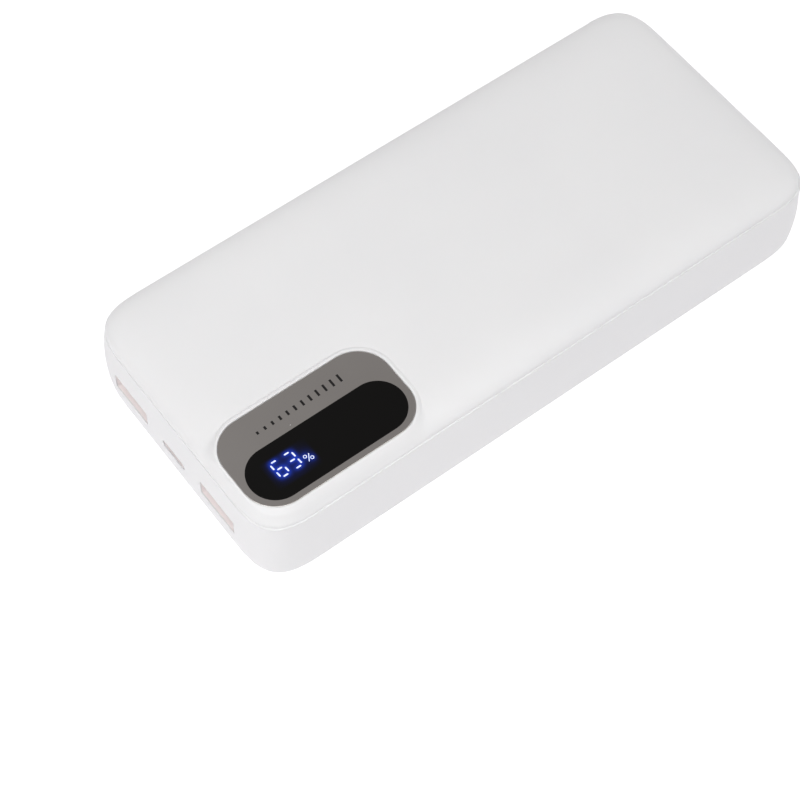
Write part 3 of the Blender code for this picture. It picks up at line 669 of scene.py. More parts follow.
def lens_mirror():
    look = Surface("lens_mirror")
    cloud = look.noise(scale=0.08)
    base = look.mix(look.remap(cloud), (0.770, 0.742, 0.722), (0.800, 0.775, 0.755))
    flecks = look.specks(scale=0.33, size=0.05)
    look.set({
        "Base Color": look.mix(flecks, base, (0.95, 0.95, 0.95)),
        "Metallic": 1.0,
        "Roughness": look.calc(
            "ADD",
            look.remap(look.noise(scale=0.9, detail=4.0), to=(0.035, 0.06)),
            look.calc("MULTIPLY", flecks, 0.5)),
        "Coat Weight": 0.25,
        "Coat Roughness": 0.02,
    })
    return look.material


def lens_window():
    """Smoked black area. Deep blue light spreads round the lit digits."""
    look = Surface("lens_window")
    flecks = look.specks(scale=0.30, size=0.045)
    look.set({
        "Base Color": look.mix(look.calc("MULTIPLY", flecks, 0.35),
                               (0.0012, 0.0011, 0.0010), (0.12, 0.12, 0.12)),
        "Roughness": 0.035,
        "IOR": 1.40,
    })
    total = None
    for (x, y), (radius_x, radius_y), strength in glow_spots():
        offset = look.vector("SUBTRACT", {1: (x, y, 0), 0: look.place})
        scaled = look.vector("MULTIPLY", {1: (1 / radius_x, 1 / radius_y, 0), 0: offset})
        square = look.calc("POWER", look.vector("LENGTH", {0: scaled}), 2.0)
        fall = look.calc("POWER", math.e, look.calc("MULTIPLY", square, -1.0))
        glow = look.calc("MULTIPLY", fall, strength)
        total = glow if total is None else look.calc("ADD", total, glow)
    # The light module's own window cuts the glow off along straight edges.
    axes = look.node("SeparateXYZ", {0: look.place})
    soft = 0.35
    window = (("X", HOUSE_LOW[0] + 0.35, HOUSE_HIGH[0] + 0.15),
              ("Y", HOUSE_LOW[1] - 0.1, HOUSE_HIGH[1] - 0.15))
    for axis, low, high in window:
        for span in ((low - soft, low + soft), (high + soft, high - soft)):
            total = look.calc("MULTIPLY", total, look.remap(axes.outputs[axis], span))
    look.set({"Emission Color": (0.016, 0.066, 0.74), "Emission Strength": total})
    return look.material


def lit_segment():
    look = Surface("lit_segment")
    tone = look.noise(scale=1.5, detail=2.0)
    look.set({
        "Base Color": (0.02, 0.03, 0.10),
        "Roughness": 0.05,
        "Emission Color": look.mix(look.remap(tone, span=(0.35, 0.65)),
                                   (0.62, 0.72, 1.0), (0.92, 0.95, 1.0)),
        "Emission Strength": 1.15,
    })
    return look.material


WHITE = white_case()
STEEL = brushed("port_steel", (0.83, 0.80, 0.78), rough=0.24)
# Steel of the port shells, made near-white, pinkish and almost diffuse: painted reflection of the
# bright surroundings, brighter than the lights alone make the inside of the openings.
PAINTED_REFLECTION_STEEL = brushed("port_steel_painted_reflection", (0.975, 0.905, 0.90), rough=0.50, vary=0.04, metal=0.10)
SCREW = brushed("screw_steel", (0.60, 0.60, 0.61), rough=0.3, along=(6, 6, 6))
NICKEL = brushed("nickel_strip", (0.74, 0.72, 0.68), rough=0.26, along=(0.6, 9, 0.6))
GOLD = brushed("contact_gold", (0.88, 0.68, 0.32), rough=0.22, along=(8, 0.8, 8))
TONGUE = plain("tongue_nylon", (0.78, 0.775, 0.76), rough=0.45, vary=0.04, bump_mm=0.006)
BLACK = plain("black_nylon", (0.020, 0.020, 0.022), rough=0.42)
BOARD = circuit_board()
FOIL = pouch_foil()
FOAM = foam()
TAPE = plain("tape_film", (0.74, 0.73, 0.69), rough=0.55, vary=0.06, scale=0.8)
FERRITE = plain("ferrite_block", (0.085, 0.085, 0.09), rough=0.6, vary=0.3, scale=3.0, bump_mm=0.03)
RESIN = plain("chip_resin", (0.018, 0.018, 0.020), rough=0.5, vary=0.2, scale=6.0)
CAN = brushed("capacitor_can", (0.78, 0.78, 0.80), rough=0.25, along=(8, 8, 0.5))
RED = plain("wire_red", (0.55, 0.015, 0.015), rough=0.4, vary=0.1)
DARK = plain("wire_black", (0.015, 0.015, 0.015), rough=0.4)
AMBER = plain("ribbon_film", (0.48, 0.20, 0.035), rough=0.28, vary=0.15, scale=1.5)
DIFFUSE = plain("diffuser_film", (0.72, 0.76, 0.88), rough=0.5, vary=0.04)

LOOKS = {
    "port_steel": STEEL, "screw_steel": SCREW, "nickel": NICKEL, "contact_gold": GOLD,
    "white_moulding": TONGUE, "black_moulding": BLACK, "circuit_board": BOARD,
    "cell_pouch": FOIL, "black_foam": FOAM, "tape": TAPE, "ferrite": FERRITE,
    "chip_resin": RESIN, "capacitor_can": CAN, "wire_red": RED, "wire_black": DARK,
    "ribbon_film": AMBER, "digit_light": DIFFUSE, "case_white": WHITE, "display_mirror": WHITE,
}


def dress_cad_parts():
    for part in frame["record"]["subparts"]:
        mesh = frame["nodes"][part["node"]].data
        mesh.materials.clear()
        mesh.materials.append(LOOKS[part["material_slot"]])
        shade(mesh, 30)


# ================================================================ top cover
FACE_LOW = PART_Z + 1.05    # the triangulated face ends here, and the edge rings begin
EDGE_RINGS = 8
# Point rings round the pocket, by distance from it; from 1.3 out only every second point is kept
POCKET_RINGS = (0.015, 0.035, 0.06, 0.11, 0.16, 0.24, 0.32, 0.40, 0.48, 0.56, 0.64, 0.72,
                0.80, 0.88, 0.96, 1.05, 1.15, 1.26, 1.4, 1.6, 1.9, 2.3)
CROWN_RINGS = (6.6, 7.4, 8.4, 9.6, 11.0, 12.6)      # by inset from the body's outline
# The skirt inside the tub's wall, then the roof's underside: inset, z
COVER_INSIDE = (
    (2.0, 18.45), (2.2, 18.2), (2.8, 18.2), (3.0, 18.4), (3.0, 20.4),
    (3.3, 20.9), (4.2, 21.35), (6.5, 21.75), (9.0, TOP_Z - WALL),
)
POCKET_FLOOR, POCKET_STEP = 22.6, 23.2


def cover_face():
    """Triangles of the outer face; the border's points and then the pocket's come first."""
    loose = []

    def add(ring, clear):
        loose.append(ring[pocket_distance(ring[:, 0], ring[:, 1]) > clear])

    for grow in POCKET_RINGS:
        loose.append(pocket_outline(grow)[:: 1 if grow < 1.3 else 2])
    for z in np.linspace(FACE_LOW, TOP_Z - 0.12, 16)[1:]:
        add(body_outline(roll_inset(z)), clear=1.32)
    for inset in CROWN_RINGS:
        add(body_outline(inset)[::3], clear=1.5)
    grid_x, grid_y = np.meshgrid(np.arange(-18, 19, 3.0), np.arange(-60, 61, 3.0))
    grid = np.column_stack([grid_x.ravel(), grid_y.ravel()])
    add(grid[inset_of(grid[:, 0], grid[:, 1]) > 13.5], clear=2.6)

    loops = [body_outline(roll_inset(FACE_LOW)), pocket_outline()]
    plan, faces, becomes = triangulate(loops, loose, tolerance=1e-5)
    middle = np.array([plan[list(face)].mean(0) for face in faces])
    keep = pocket_distance(middle[:, 0], middle[:, 1]) > 0
    faces = [list(face) for face, kept in zip(faces, keep) if kept]
    return plan, faces, becomes


def cover_rings():
    """Rings from the face's border down the edge, under the lip, up inside and to the pocket."""
    rings = [body_ring(roll_inset(z), z)
             for z in np.linspace(FACE_LOW, LIP_TURN, EDGE_RINGS + 1)[1:]]
    wall = roll_inset(LIP_TURN)
    out = tub_inset(SEAM_LOW)
    # the lip's upper hollow, beside the roll carried on down to the groove
    for k in range(1, 7):
        angle = math.radians(14.0 * k)
        z = LIP_TURN + (GROOVE_TOP + GROOVE_R + 0.002 - LIP_TURN) * k / 6
        rings.append(mixed_ring(wall - LIP_ROUND * (1 - math.cos(angle)),
                                LIP_TURN - LIP_ROUND * math.sin(angle), roll_inset(z), z))
    # the lip's rounded edge, beside the groove's upper edge
    edge = roll_inset(GROOVE_TOP + GROOVE_R)
    for k in range(0, 5):
        angle = math.radians(14 + 19 * k)
        bend = math.radians(18 * (k + 1))
        rings.append(mixed_ring(out + LIP_EDGE * (1 - math.sin(angle)),
                                LIP_TOP - LIP_EDGE * (1 - math.cos(angle)),
                                edge + GROOVE_R * (1 - math.cos(bend)),
                                GROOVE_TOP + GROOVE_R * (1 - math.sin(bend))))
    rings.append(mixed_ring(out, SEAM_TOP + 0.004, edge + GROOVE_R + 0.02, GROOVE_TOP))
    rings.append(mixed_ring(out + 0.02, SEAM_TOP, edge + GROOVE_R + 0.04, GROOVE_TOP))
    skirt = COVER_INSIDE[0][0]
    rings.append(mixed_ring(skirt, SEAM_TOP, skirt, GROOVE_TOP))
    rings += [body_ring(inset, z) for inset, z in COVER_INSIDE]
    # the hole over the digit housing and the pocket's ledge
    half_w, half_l = (HOUSE_HIGH - HOUSE_LOW)[:2] / 2 + 0.4
    hole = outline(half_w, half_l, 0.5, 2.0, centre=(HOUSE_HIGH + HOUSE_LOW)[:2] / 2)
    rings += [at_height(hole, z) for z in (TOP_Z - WALL, POCKET_FLOOR)]
    rings += [at_height(pocket_outline(), z) for z in (POCKET_FLOOR, POCKET_STEP)]
    return rings


def cover_normals(mesh, verts, plan):
    """Sets the exact normals on the face and on the edge rings below it, so no line shows."""
    exact = len(plan) + COUNT * EDGE_RINGS
    table = np.zeros((len(verts), 3))
    table[:len(plan)] = top_normals(plan[:, 0], plan[:, 1])
    table[len(plan):exact] = roll_normals(verts[len(plan):exact])
    normals = corner_normals(mesh)
    where = np.empty(len(mesh.loops), np.int32)
    mesh.loops.foreach_get("vertex_index", where)
    flat = np.empty((len(mesh.loops), 3))
    for face in mesh.polygons:
        flat[face.loop_start:face.loop_start + face.loop_total] = face.normal[:]
    use = (where < exact) & ((table[where] * flat).sum(1) > 0.5)
    # pocket wall faces keep their own normals at the rim's lower edge
    steep = np.abs(flat[:, 2]) < 0.05
    near_pocket = pocket_distance(verts[where][:, 0], verts[where][:, 1]) < 0.01
    use &= ~(steep & near_pocket)
    normals[use] = table[where][use]
    mesh.normals_split_custom_set([tuple(normal) for normal in normals])


def build_cover():
    """Outer face as a fine triangulated height field, then the rest as rings."""
    plan, faces, becomes = cover_face()
    border = [becomes[i] for i in range(COUNT)]
    pocket = [becomes[COUNT + i] for i in range(COUNT)]
    z = top_height(plan[:, 0], plan[:, 1])
    z[pocket] = RIM_CREST - RIM_FILLET
    rings = cover_rings()
    verts = np.concatenate([np.column_stack([plan, z])] + rings)
    starts = [len(plan) + COUNT * k for k in range(len(rings))]
    rows = [border] + [range(start, start + COUNT) for start in starts] + [pocket]
    for here, there in zip(rows, rows[1:]):
        for k in range(COUNT):
            after = (k + 1) % COUNT
            faces.append([here[k], there[k], there[after], here[after]])
    obj = outward(make("cover_shell", verts, faces, [WHITE]))
    shade(obj.data, 40)
    obj.data.update()
    cover_normals(obj.data, verts, plan)
    fit(obj, "top_cover")


# ================================================================ bottom case
# Openings: width, height, corner radius
MOUTH_A, MOUTH_C = (12.54, 5.04, 0.55), (8.40, 2.64, 1.30)
MOUTH_BUTTON = (BUTTON_L + 2 * BUTTON_GAP, BUTTON_H + 2 * BUTTON_GAP, 2.04)
BORE_A, BORE_C = 0.55, 0.42       # how much an opening widens behind the skin
SKIN, CUT_DEPTH, CUT_START = 0.30, 4.0, -1.5
FLARE_PORT, FLARE_BUTTON = 0.11, 0.18
WALL_LIP_Z, WALL_FLUSH_Z = 19.8, 19.2     # where the evenly spaced wall rings end
RIM_EDGE_R, FLOOR_R = 0.012, 1.2


def mouth_cutter(name, size, place, surface, flare, bore=0.0):
    """A cutter whose outer end opens in a small rounded flare.

    place(across, up, depth) gives a point; depth runs inwards from the surface.
    """
    width, height, radius = size
    stations = [(CUT_START, flare)]    # depth, growth
    for k in range(0, 6):
        angle = math.radians(90 * k / 5)
        stations.append((flare * (1 - math.cos(angle)), flare * (1 - math.sin(angle))))
    if bore:
        # behind the skin the opening widens, which is where the metal shell stands
        stations += [(SKIN, 0.0), (SKIN + 0.001, bore)]
    stations.append((CUT_DEPTH, bore))
    rows = []
    for depth, grow in stations:
        ring = rounded_rectangle(width + 2 * grow, height + 2 * grow, radius + grow)
        rows.append(np.array([place(across, up, surface + depth) for across, up in ring]))
    return loft(name, rows, WHITE, smooth=False)


def tub_outside():
    """Rings from the table up the outside to the rim."""
    foot = tub_inset(FOOT_R)
    rings = []
    for k in range(0, 11):
        angle = math.radians(9 * k)
        rings.append(body_ring(foot + FOOT_R * (1 - math.sin(angle)),
                               FOOT_R * (1 - math.cos(angle))))
    top = SEAM_LOW - RIM_EDGE_R
    heights = list(zip(np.linspace(FOOT_R, WALL_LIP_Z, 25)[1:],
                       np.linspace(FOOT_R, WALL_FLUSH_Z, 25)[1:]))
    for k in (1, 2):
        heights.append((WALL_LIP_Z + (top - WALL_LIP_Z) * k / 2,
                        WALL_FLUSH_Z + (TUB_END - WALL_FLUSH_Z) * k / 2))
    for lip_z, flush_z in heights:
        rings.append(mixed_ring(tub_inset(lip_z), lip_z, tub_inset(flush_z, 1.0), flush_z))
    lip, flush = tub_inset(top), tub_inset(TUB_END, 1.0)
    for k in range(1, 7):
        angle = math.radians(15 * k)
        turn, rise = 1 - math.cos(angle), math.sin(angle)
        rings.append(mixed_ring(lip + RIM_EDGE_R * turn, top + RIM_EDGE_R * rise,
                                flush + GROOVE_R * turn, TUB_END + GROOVE_R * rise))
    return rings


def tub_inside():
    """Rings from the rim down the inside to the floor."""
    rings = [mixed_ring(WALL, SEAM_LOW, WALL, GROOVE_LOW)]
    for z in np.linspace(SEAM_LOW, WALL + FLOOR_R, 9)[1:]:
        rings.append(body_ring(side_inset(z) + WALL, z))
    for k in range(1, 5):
        angle = math.radians(22.5 * (4 - k))
        rings.append(body_ring(-SIDE_DRAFT + WALL + FLOOR_R * (1 - math.sin(angle)),
                               WALL + FLOOR_R * (1 - math.cos(angle))))
    return rings


def smooth_wall(mesh):
    """Gives the faces round the openings the true wall's normals, so cuts don't show in gloss."""
    shade(mesh, 35)
    mesh.update()
    points = np.empty(len(mesh.vertices) * 3)
    mesh.vertices.foreach_get("co", points)
    points = points.reshape(-1, 3) * 1000
    z = points[:, 2]
    on_wall = np.abs(wall_depth(points.T)) < 0.02
    on_wall &= (z > FOOT_R - 0.01) & (z < TUB_END + 0.01)
    normals = corner_normals(mesh)
    known = {}
    for face in mesh.polygons:
        ids = list(face.vertices)
        if not on_wall[ids].all():
            continue
        if (np.abs(z[ids] - FOOT_R) < 1e-3).any() and (z[ids] <= FOOT_R + 1e-3).all():
            continue
        middle = wall_normal(points[ids].mean(0))
        if abs(float(np.dot(middle, np.array(face.normal)))) < 0.9:
            continue
        for loop in face.loop_indices:
            vertex = mesh.loops[loop].vertex_index
            if vertex not in known:
                known[vertex] = wall_normal(points[vertex])
            normals[loop] = known[vertex]
    mesh.normals_split_custom_set([tuple(normal) for normal in normals])


def build_tub():
    obj = loft("tub_shell", tub_outside() + tub_inside(), WHITE)
    cutters = []
    for tag, mouth, bore in (("left", MOUTH_A, BORE_A), ("right", MOUTH_A, BORE_A),
                             ("c", MOUTH_C, BORE_C)):
        middle_x, _, middle_z = (SHELL[tag][0] + SHELL[tag][1]) / 2
        cutters.append(mouth_cutter(
            f"mouth_{tag[0]}", mouth,
            lambda across, up, y, x=middle_x, z=middle_z: (x + across, y, z + up),
            surface=-(BODY_L / 2 - tub_inset(middle_z)), flare=FLARE_PORT, bore=bore))
    cutters.append(mouth_cutter(
        "mouth_b", MOUTH_BUTTON,
        lambda across, up, x: (x, BUTTON_Y + across, BUTTON_Z + up),
        surface=-(BODY_W / 2 - tub_inset(BUTTON_Z)), flare=FLARE_BUTTON))
    cut_with(obj, cutters)
    smooth_wall(obj.data)
    fit(obj, "bottom_case")


# ================================================================ display lens
WINDOW_CENTRE, WINDOW_SIZE, WINDOW_R = (22.49, -52.36), (12.92, 39.0), 6.45
LENS_STEPS = 28
# A row of bars that grow from the first to the last
MARKS, MARK_FOOT_X, MARK_HALF = 12, 12.92, 0.27
MARK_TALL, MARK_GROWTH = 0.75, 1.30
MARK_FIRST_Y, MARK_RUN = -63.1, 21.5
DOT_R, DOT_HOLE_R = 0.43, 0.26
MIRROR, WINDOW, GLOWING, MARK = range(4)    # the lens's material slots


def circle(centre, radius, count=20):
    return [(centre[0] + radius * math.cos(2 * math.pi * k / count),
             centre[1] + radius * math.sin(2 * math.pi * k / count)) for k in range(count)]


def plate_outline(grow):
    """The lens plate's outline, grown from where its top turns over."""
    return rounded_rectangle(LENS_W - 2 * LENS_EDGE + 2 * grow, LENS_L - 2 * LENS_EDGE + 2 * grow,
                             LENS_R - LENS_EDGE + grow, LENS_STEPS, LENS_C).tolist()


def inside(point, loop):
    x, y = point
    hit = False
    for (x1, y1), (x2, y2) in zip(loop, loop[1:] + loop[:1]):
        if (y1 > y) != (y2 > y) and x < (x2 - x1) * (y - y1) / (y2 - y1) + x1:
            hit = not hit
    return hit


def lens_areas():
    """Areas on the plate as (loop, material slot); a later one lies over the ones before."""
    window = rounded_rectangle(*WINDOW_SIZE, WINDOW_R, LENS_STEPS, WINDOW_CENTRE).tolist()
    areas = [(window, WINDOW)]
    for k in range(MARKS):
        tip = MARK_FOOT_X - (MARK_TALL + MARK_GROWTH * k / (MARKS - 1))
        y = MARK_FIRST_Y + MARK_RUN * k / (MARKS - 1)
        areas.append(([(tip, y - MARK_HALF), (tip, y + MARK_HALF),
                       (MARK_FOOT_X, y + MARK_HALF), (MARK_FOOT_X, y - MARK_HALF)], MARK))
    areas += [(shape, GLOWING) for shape in LIT]
    for dot in PERCENT_DOTS:
        areas.append((circle(dot, DOT_R), GLOWING))
        areas.append((circle(dot, DOT_HOLE_R), WINDOW))
    areas.append((PERCENT_SLASH, GLOWING))
    return areas


def build_lens():
    materials = [lens_mirror(), lens_window(), lit_segment(),
                 plain("print_black", (0.010, 0.010, 0.010), rough=0.12, vary=0.1)]
    edge = plate_outline(0.0)
    areas = lens_areas()
    loops = [edge] + [loop for loop, _ in areas]
    plan, triangles, becomes = triangulate(loops, [], tolerance=1e-7)
    verts = [(x, y, LENS_HIGH[2]) for x, y in plan]
    faces, slots = [], []
    for face in triangles:
        middle = plan[list(face)].mean(0)
        if not inside(middle, edge):
            continue
        slot = MIRROR
        for loop, area_slot in areas:
            if inside(middle, loop):
                slot = area_slot
        faces.append(list(face))
        slots.append(slot)
    # the plate's rounded edge, side and underside
    rows = []
    for k in range(1, 5):
        angle = math.radians(22.5 * k)
        z = LENS_HIGH[2] - LENS_EDGE * (1 - math.cos(angle))
        rows.append([(x, y, z) for x, y in plate_outline(LENS_EDGE * math.sin(angle))])
    rows.append([(x, y, LENS_LOW[2]) for x, y, _ in rows[-1]])
    count = len(edge)
    previous = [becomes[i] for i in range(count)]
    for row in rows:
        current = [len(verts) + i for i in range(count)]
        verts += row
        for i in range(count):
            j = (i + 1) % count
            faces.append([previous[i], previous[j], current[j], current[i]])
        previous = current
    faces.append(previous[::-1])
    slots += [MIRROR] * (len(faces) - len(slots))
    obj = outward(make("lens_plate", verts, faces, materials, slots, sharp=30))
    fit(obj, "display_lens")


# ================================================================ button cap
# Domed face and rounded rim: share of the height, depth behind the face
BUTTON_FACE = ((0.30, 0.00), (0.70, 0.006), (0.88, 0.025), (0.95, 0.06), (0.985, 0.12), (1.0, 0.22))
# Shank, flange and nub behind the wall: x, length, height, radius
BUTTON_BACK = (
    (-32.45, BUTTON_L, BUTTON_H, BUTTON_H / 2 - 0.005),
    (-32.42, 13.6, 5.0, 1.2),
    (-32.30, 14.0, 5.4, 1.4),
    (-31.84, 14.0, 5.4, 1.4),
    (-31.72, 13.7, 5.1, 1.3),
    (-31.71, 2.3, 2.3, 1.14),
    (CAP_HIGH[0], 2.1, 2.1, 1.04),
)


def build_button():
    stations = []
    for share, depth in BUTTON_FACE:
        height = BUTTON_H * share
        length = BUTTON_L - BUTTON_H * (1 - share)
        stations.append((CAP_LOW[0] + depth, length, height, height / 2 - 0.005))
    rows = []
    for x, length, height, radius in (*stations, *BUTTON_BACK):
        ring = rounded_rectangle(length, height, radius, 10)
        rows.append(np.array([(x, BUTTON_Y + y, BUTTON_Z + z) for y, z in ring]))
    obj = loft("button_cap_fine", rows, WHITE, sharp=40)
    fit(obj, "button_cap", "button")


# ================================================================ ports
# Lengths along y are measured from a shell's open -Y end.
LIP = 0.03                                  # depth of the rolled lip
WINDOW_X, WINDOW_HALF, WINDOW_Y, WINDOW_CUT = 3.1, 1.15, (2.8, 8.2), 0.8
LEAF_ROOT, LEAF_TIP, LEAF_W, LEAF_STEPS = 8.25, 3.0, 1.5, 14
LEAF_HALF, LEAF_SINK, LEAF_BOW = 0.09, 0.17, 0.42
BODY_START, BLADE_END = 10.4, 11.0
BLADE_HALF, BLADE_Z, SLOT_Z = 5.55, (9.75, 11.55), (9.5, 9.98)
CONTACT_STEPS, CONTACT_BOW, CONTACT_BOW_END, CONTACT_THICK = 16, 0.20, 0.45, 0.20
# USB-C tongue and its block: half width, half height; then the contact pads on both faces
C_TONGUE, C_BLOCK = (3.34, 0.35), (3.7, 1.15)
C_PADS, C_PITCH, C_PAD_HALF, C_PAD_Y, C_PAD_RISE = 12, 0.5, 0.12, (0.45, 3.4), 0.03


def port_tube(name, box, corner, sheet):
    """Drawn metal shell, open at the front, with a rolled lip."""
    low, high = box
    middle_x, _, middle_z = (low + high) / 2
    front, back = low[1], high[1]
    stations = []    # y, shrink
    for k in range(6, -1, -1):
        angle = math.radians(30 * k)
        stations.append((front + LIP * (1 - math.sin(angle)), sheet / 2 * (1 - math.cos(angle))))
    # from the lip along the outside to the back, then forward inside
    stations += [
        (front + 1.0, 0.0), (front + 4.0, 0.0), (back - 0.4, 0.0), (back - 0.12, 0.04),
        (back, 0.16), (back, sheet + 0.01), (back - 0.3, sheet), (front + 4.0, sheet),
    ]
    rows = []
    for y, shrink in stations:
        ring = rounded_rectangle(high[0] - low[0] - 2 * shrink, high[2] - low[2] - 2 * shrink,
                                 max(corner - shrink, 0.12), 8)
        rows.append(np.array([(middle_x + x, y, middle_z + z) for x, z in ring]))
    # The shell uses the steel with painted reflection, brighter and pinker than the bare steel.
    return loft(name, rows, PAINTED_REFLECTION_STEEL, closed=True, sharp=35)


def leaf(name, x, z, front, bow):
    """Bent spring leaf in a window of a port shell; a positive bow goes up."""
    sections = []
    for k in range(LEAF_STEPS + 1):
        share = k / LEAF_STEPS
        y = front + LEAF_ROOT + (LEAF_TIP - LEAF_ROOT) * share
        bent = share * 1.15
        middle = z + (bow * LEAF_BOW * math.sin(math.pi * bent) if bent < 1 else 0.0)
        half = LEAF_W / 2 * (1 - 0.25 * share)
        sections.append((x - half, x + half, y, middle - LEAF_HALF, middle + LEAF_HALF))
    return strip(name, sections, STEEL)


def contact(name, low, high):
    """Gold contact strip, bowed down near its front end."""
    sections = []
    for k in range(CONTACT_STEPS + 1):
        share = k / CONTACT_STEPS
        bow = 0.0
        if share < CONTACT_BOW_END:
            bow = CONTACT_BOW * math.sin(math.pi * share / CONTACT_BOW_END)
        z = high[2] + 0.02 - bow
        sections.append((low[0], high[0], low[1] + (high[1] - low[1]) * share,
                         z, z + CONTACT_THICK))
    return strip(name, sections, GOLD)


def usb_a_shell(tag, middle_x, front):
    low, high = SHELL[tag]
    shell = port_tube(f"usb_a_tube_{tag}", SHELL[tag], corner=0.9, sheet=0.30)
    windows = []
    for side in (-WINDOW_X, WINDOW_X):
        x = middle_x + side
        for z in (low[2], high[2]):
            windows.append(block(
                f"window_{tag}",
                (x - WINDOW_HALF, front + WINDOW_Y[0], z - WINDOW_CUT),
                (x + WINDOW_HALF, front + WINDOW_Y[1], z + WINDOW_CUT), STEEL, 0.25))
    cut_with(shell, windows)
    shade(shell.data, 35)
    fit(shell, f"usb_a_shell_{tag}")
    leaves = (("low", low[2] + LEAF_SINK, 0.8), ("high", high[2] - LEAF_SINK, -0.3))
    for k, side in enumerate((-WINDOW_X, WINDOW_X)):
        for place, z, bow in leaves:
            spring = leaf(f"spring_leaf_{tag}_{place}_{k}", middle_x + side, z, front, bow)
            fit(spring, None)


def usb_a_tongue(tag, middle_x, front):
    move = MOVE[tag]
    low, high = mm_box(f"usb_a_tongue_{tag}", move)
    body = block(f"usb_a_insulator_{tag}", (low[0], front + BODY_START, low[2]), high, TONGUE, 0.2)
    blade = block(f"blade_{tag}", (middle_x - BLADE_HALF, low[1], BLADE_Z[0] + move[2]),
                  (middle_x + BLADE_HALF, front + BLADE_END, BLADE_Z[1] + move[2]), TONGUE, 0.28)
    cut_with(body, [blade], "UNION")
    contacts = [mm_box(f"usb_a_contact_{tag}_{k + 1}", move) for k in range(4)]
    slots = []
    for k, (near, far) in enumerate(contacts):
        slots.append(block(f"slot_{tag}_{k}",
                           (near[0] - 0.12, low[1] + 0.55, SLOT_Z[0] + move[2]),
                           (far[0] + 0.12, far[1] + 0.1, SLOT_Z[1] + move[2]), TONGUE, 0.05))
    cut_with(body, slots)
    shade(body.data, 40)
    fit(body, f"usb_a_tongue_{tag}")
    for k, (near, far) in enumerate(contacts, 1):
        fit(contact(f"contact_leaf_{tag}_{k}", near, far), f"usb_a_contact_{tag}_{k}")


def usb_c():
    fit(port_tube("usb_c_tube", SHELL["c"], corner=1.55, sheet=0.26), "usb_c_shell")
    low, high = mm_box("usb_c_tongue", MOVE["c"])
    middle_x, _, middle_z = (low + high) / 2
    half_w, half_h = C_TONGUE
    body = block("usb_c_insulator", (middle_x - half_w, low[1], middle_z - half_h),
                 (middle_x + half_w, high[1] - 1.2, middle_z + half_h), BLACK, 0.12)
    back_w, back_h = C_BLOCK
    back = block("usb_c_back", (middle_x - back_w, high[1] - 1.8, middle_z - back_h),
                 (middle_x + back_w, high[1], middle_z + back_h), BLACK, 0.3)
    cut_with(body, [back], "UNION")
    shade(body.data, 40)
    fit(body, "usb_c_tongue")
    for k in range(C_PADS):
        x = middle_x - C_PITCH * (C_PADS - 1) / 2 + C_PITCH * k
        for side, z in (("up", middle_z + half_h), ("low", middle_z - half_h)):
            pad = block(f"usb_c_pad_{side}_{k}",
                        (x - C_PAD_HALF, low[1] + C_PAD_Y[0], z - C_PAD_RISE),
                        (x + C_PAD_HALF, low[1] + C_PAD_Y[1], z + C_PAD_RISE), GOLD, 0.012)
            fit(pad, None)


def build_ports():
    for tag in ("left", "right"):
        low, high = SHELL[tag]
        middle_x, front = (low[0] + high[0]) / 2, low[1]
        usb_a_shell(tag, middle_x, front)
        usb_a_tongue(tag, middle_x, front)
    usb_c()


# ================================================================ floor, light, camera
TABLE_BOUNCE, TABLE_GLOW = 0.68, 0.82       # the table's own light: on the object, to the camera
OVERHEAD, FAR_SIDE = (0.770, 0.768, 0.773), (0.60, 0.60, 0.60)
DARK_PATCH = (0.2334, 0.2238, 0.2181)
PATCH_AIM, PATCH_ANGLE = (-0.35, 0.375, 0.86), 42

# Square area lights: name, place in metres, size, power
LIGHTS = (
    ("key", (0.10, -0.24, 0.60), 0.42, 0.555),
    ("front_key", (0.0, -0.45, 0.45), 0.42, 0.710),
    ("top_key", (0.05, 0.12, 0.70), 0.42, 0.770),
    ("side_key", (0.30, -0.30, 0.45), 0.42, 0.750),
    ("port_fill", (0.15, -0.95, 0.30), 0.6, 0.37),
)
LIGHT_AIM = (0.0, -0.01, 0.0)

SENSOR, FOCAL = 36.0, 93.88215
SHIFT_X, SHIFT_Y = -0.000625, 0.0006875
# The camera stands on the line from the origin to this point, at a share of its distance.
CAMERA_LINE, CAMERA_SHARE = (208.797, -177.105, 418.237), 0.96
CAMERA_FORWARD = (-0.40238178, 0.30909906, -0.86171148)
CAMERA_RIGHT = (0.60098203, 0.79923958, 0.0060577)


def build_floor():
    """White table. It shines a little of its own, so the object throws almost no shadow on it."""
    look = Surface("floor_paint")
    tone = look.noise(scale=0.004, detail=2.0)
    look.set({
        "Base Color": look.mix(look.remap(tone), (0.40, 0.40, 0.40), (0.42, 0.42, 0.42)),
        "Roughness": 0.9,
        "Specular IOR Level": 0.0,
        "Emission Color": (1.0, 0.982, 1.012),
    })
    seen = look.node("LightPath").outputs["Is Camera Ray"]
    look.set({"Emission Strength": look.remap(seen, span=(0.0, 1.0),
                                              to=(TABLE_BOUNCE, TABLE_GLOW))})
    bm = bmesh.new()
    bmesh.ops.create_grid(bm, x_segments=2, y_segments=2, size=6.0)
    mesh = bpy.data.meshes.new("floor")
    bm.to_mesh(mesh)
    bm.free()
    mesh.materials.append(look.material)
    obj = link_object("floor", mesh)
    obj.location = (0, 0, -0.00005)


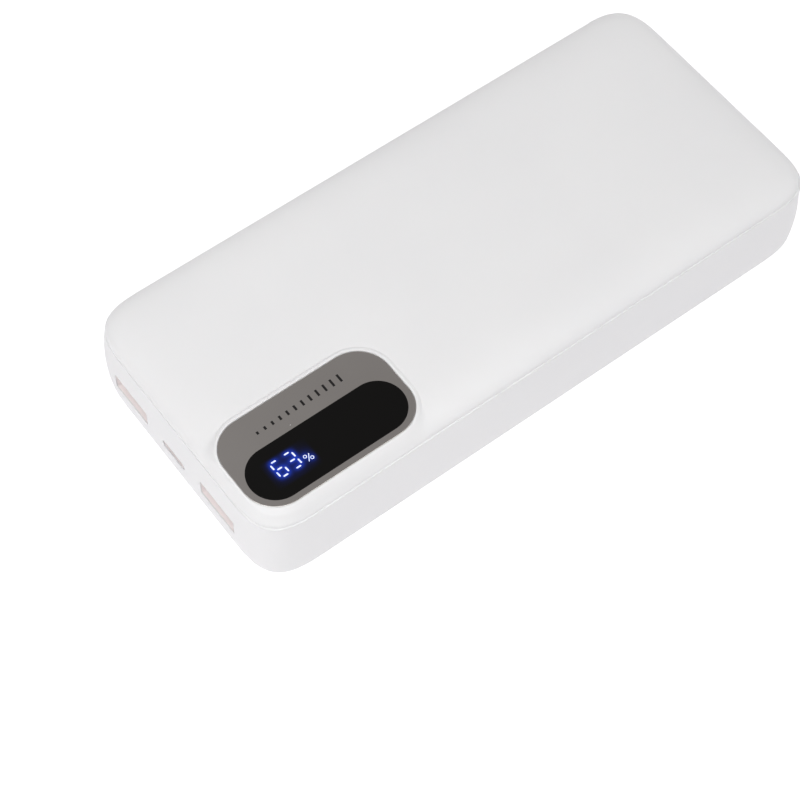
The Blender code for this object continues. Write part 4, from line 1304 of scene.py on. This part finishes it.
def build_world():
    """Even light tent, with a darker patch overhead on the far side for the display to mirror."""
    world = bpy.data.worlds.new("studio")
    bpy.context.scene.world = world
    world.use_nodes = True
    sky = Graph(world.node_tree)
    sky.tree.nodes.clear()
    out = sky.node("OutputWorld")
    seen = sky.node("Background", {"Color": (1.0, 1.0, 1.0)})
    where = sky.node("TexCoord").outputs["Generated"]
    aim = sky.vector("DOT_PRODUCT", {1: Vector(PATCH_AIM).normalized(), 0: where})
    patch = sky.remap(aim, span=(math.cos(math.radians(PATCH_ANGLE)), 1.0))
    axes = sky.node("SeparateXYZ", {0: where})
    tent = sky.mix(sky.remap(axes.outputs["Z"], span=(0.0, 1.0)), (0.0, 0.0, 0.0), OVERHEAD)
    far = sky.remap(axes.outputs["Y"], span=(0.0, 1.0))
    tent = sky.mix(far, tent, FAR_SIDE, blend="ADD")
    glow = sky.node("Background", {"Color": sky.mix(patch, tent, DARK_PATCH)})
    # the camera itself sees plain white
    path = sky.node("LightPath")
    mixed = sky.node("MixShader", {"Fac": path.outputs["Is Camera Ray"],
                                   1: glow.outputs[0], 2: seen.outputs[0]})
    sky.fill(out, {"Surface": mixed.outputs[0]})


def build_lights():
    for name, place, size, power in LIGHTS:
        light = bpy.data.lights.new(name, "AREA")
        light.shape = "RECTANGLE"
        light.size = size
        light.size_y = size
        light.energy = power
        obj = link_object(name, light)
        obj.location = place
        aim = Vector(LIGHT_AIM) - Vector(place)
        obj.rotation_euler = aim.to_track_quat("-Z", "Y").to_euler()


def build_camera():
    camera = bpy.data.cameras.new("photo_camera")
    camera.sensor_fit = "HORIZONTAL"
    camera.sensor_width = SENSOR
    camera.lens = FOCAL
    camera.clip_start = 0.01
    camera.shift_x = SHIFT_X
    camera.shift_y = SHIFT_Y
    view = bpy.data.objects.new("photo_camera", camera)
    forward = Vector(CAMERA_FORWARD).normalized()
    right = Vector(CAMERA_RIGHT).normalized()
    up = right.cross(forward).normalized()
    turn = Matrix((right, up, -forward)).transposed().to_4x4()
    view.matrix_world = Matrix.Translation(Vector(CAMERA_LINE) * CAMERA_SHARE * MM) @ turn
    bpy.context.scene.collection.objects.link(view)
    bpy.context.scene.camera = view
    bpy.context.scene.view_settings.view_transform = "Standard"


dress_cad_parts()
build_cover()
build_tub()
build_lens()
build_button()
build_ports()
build_floor()
build_world()
build_lights()
build_camera()
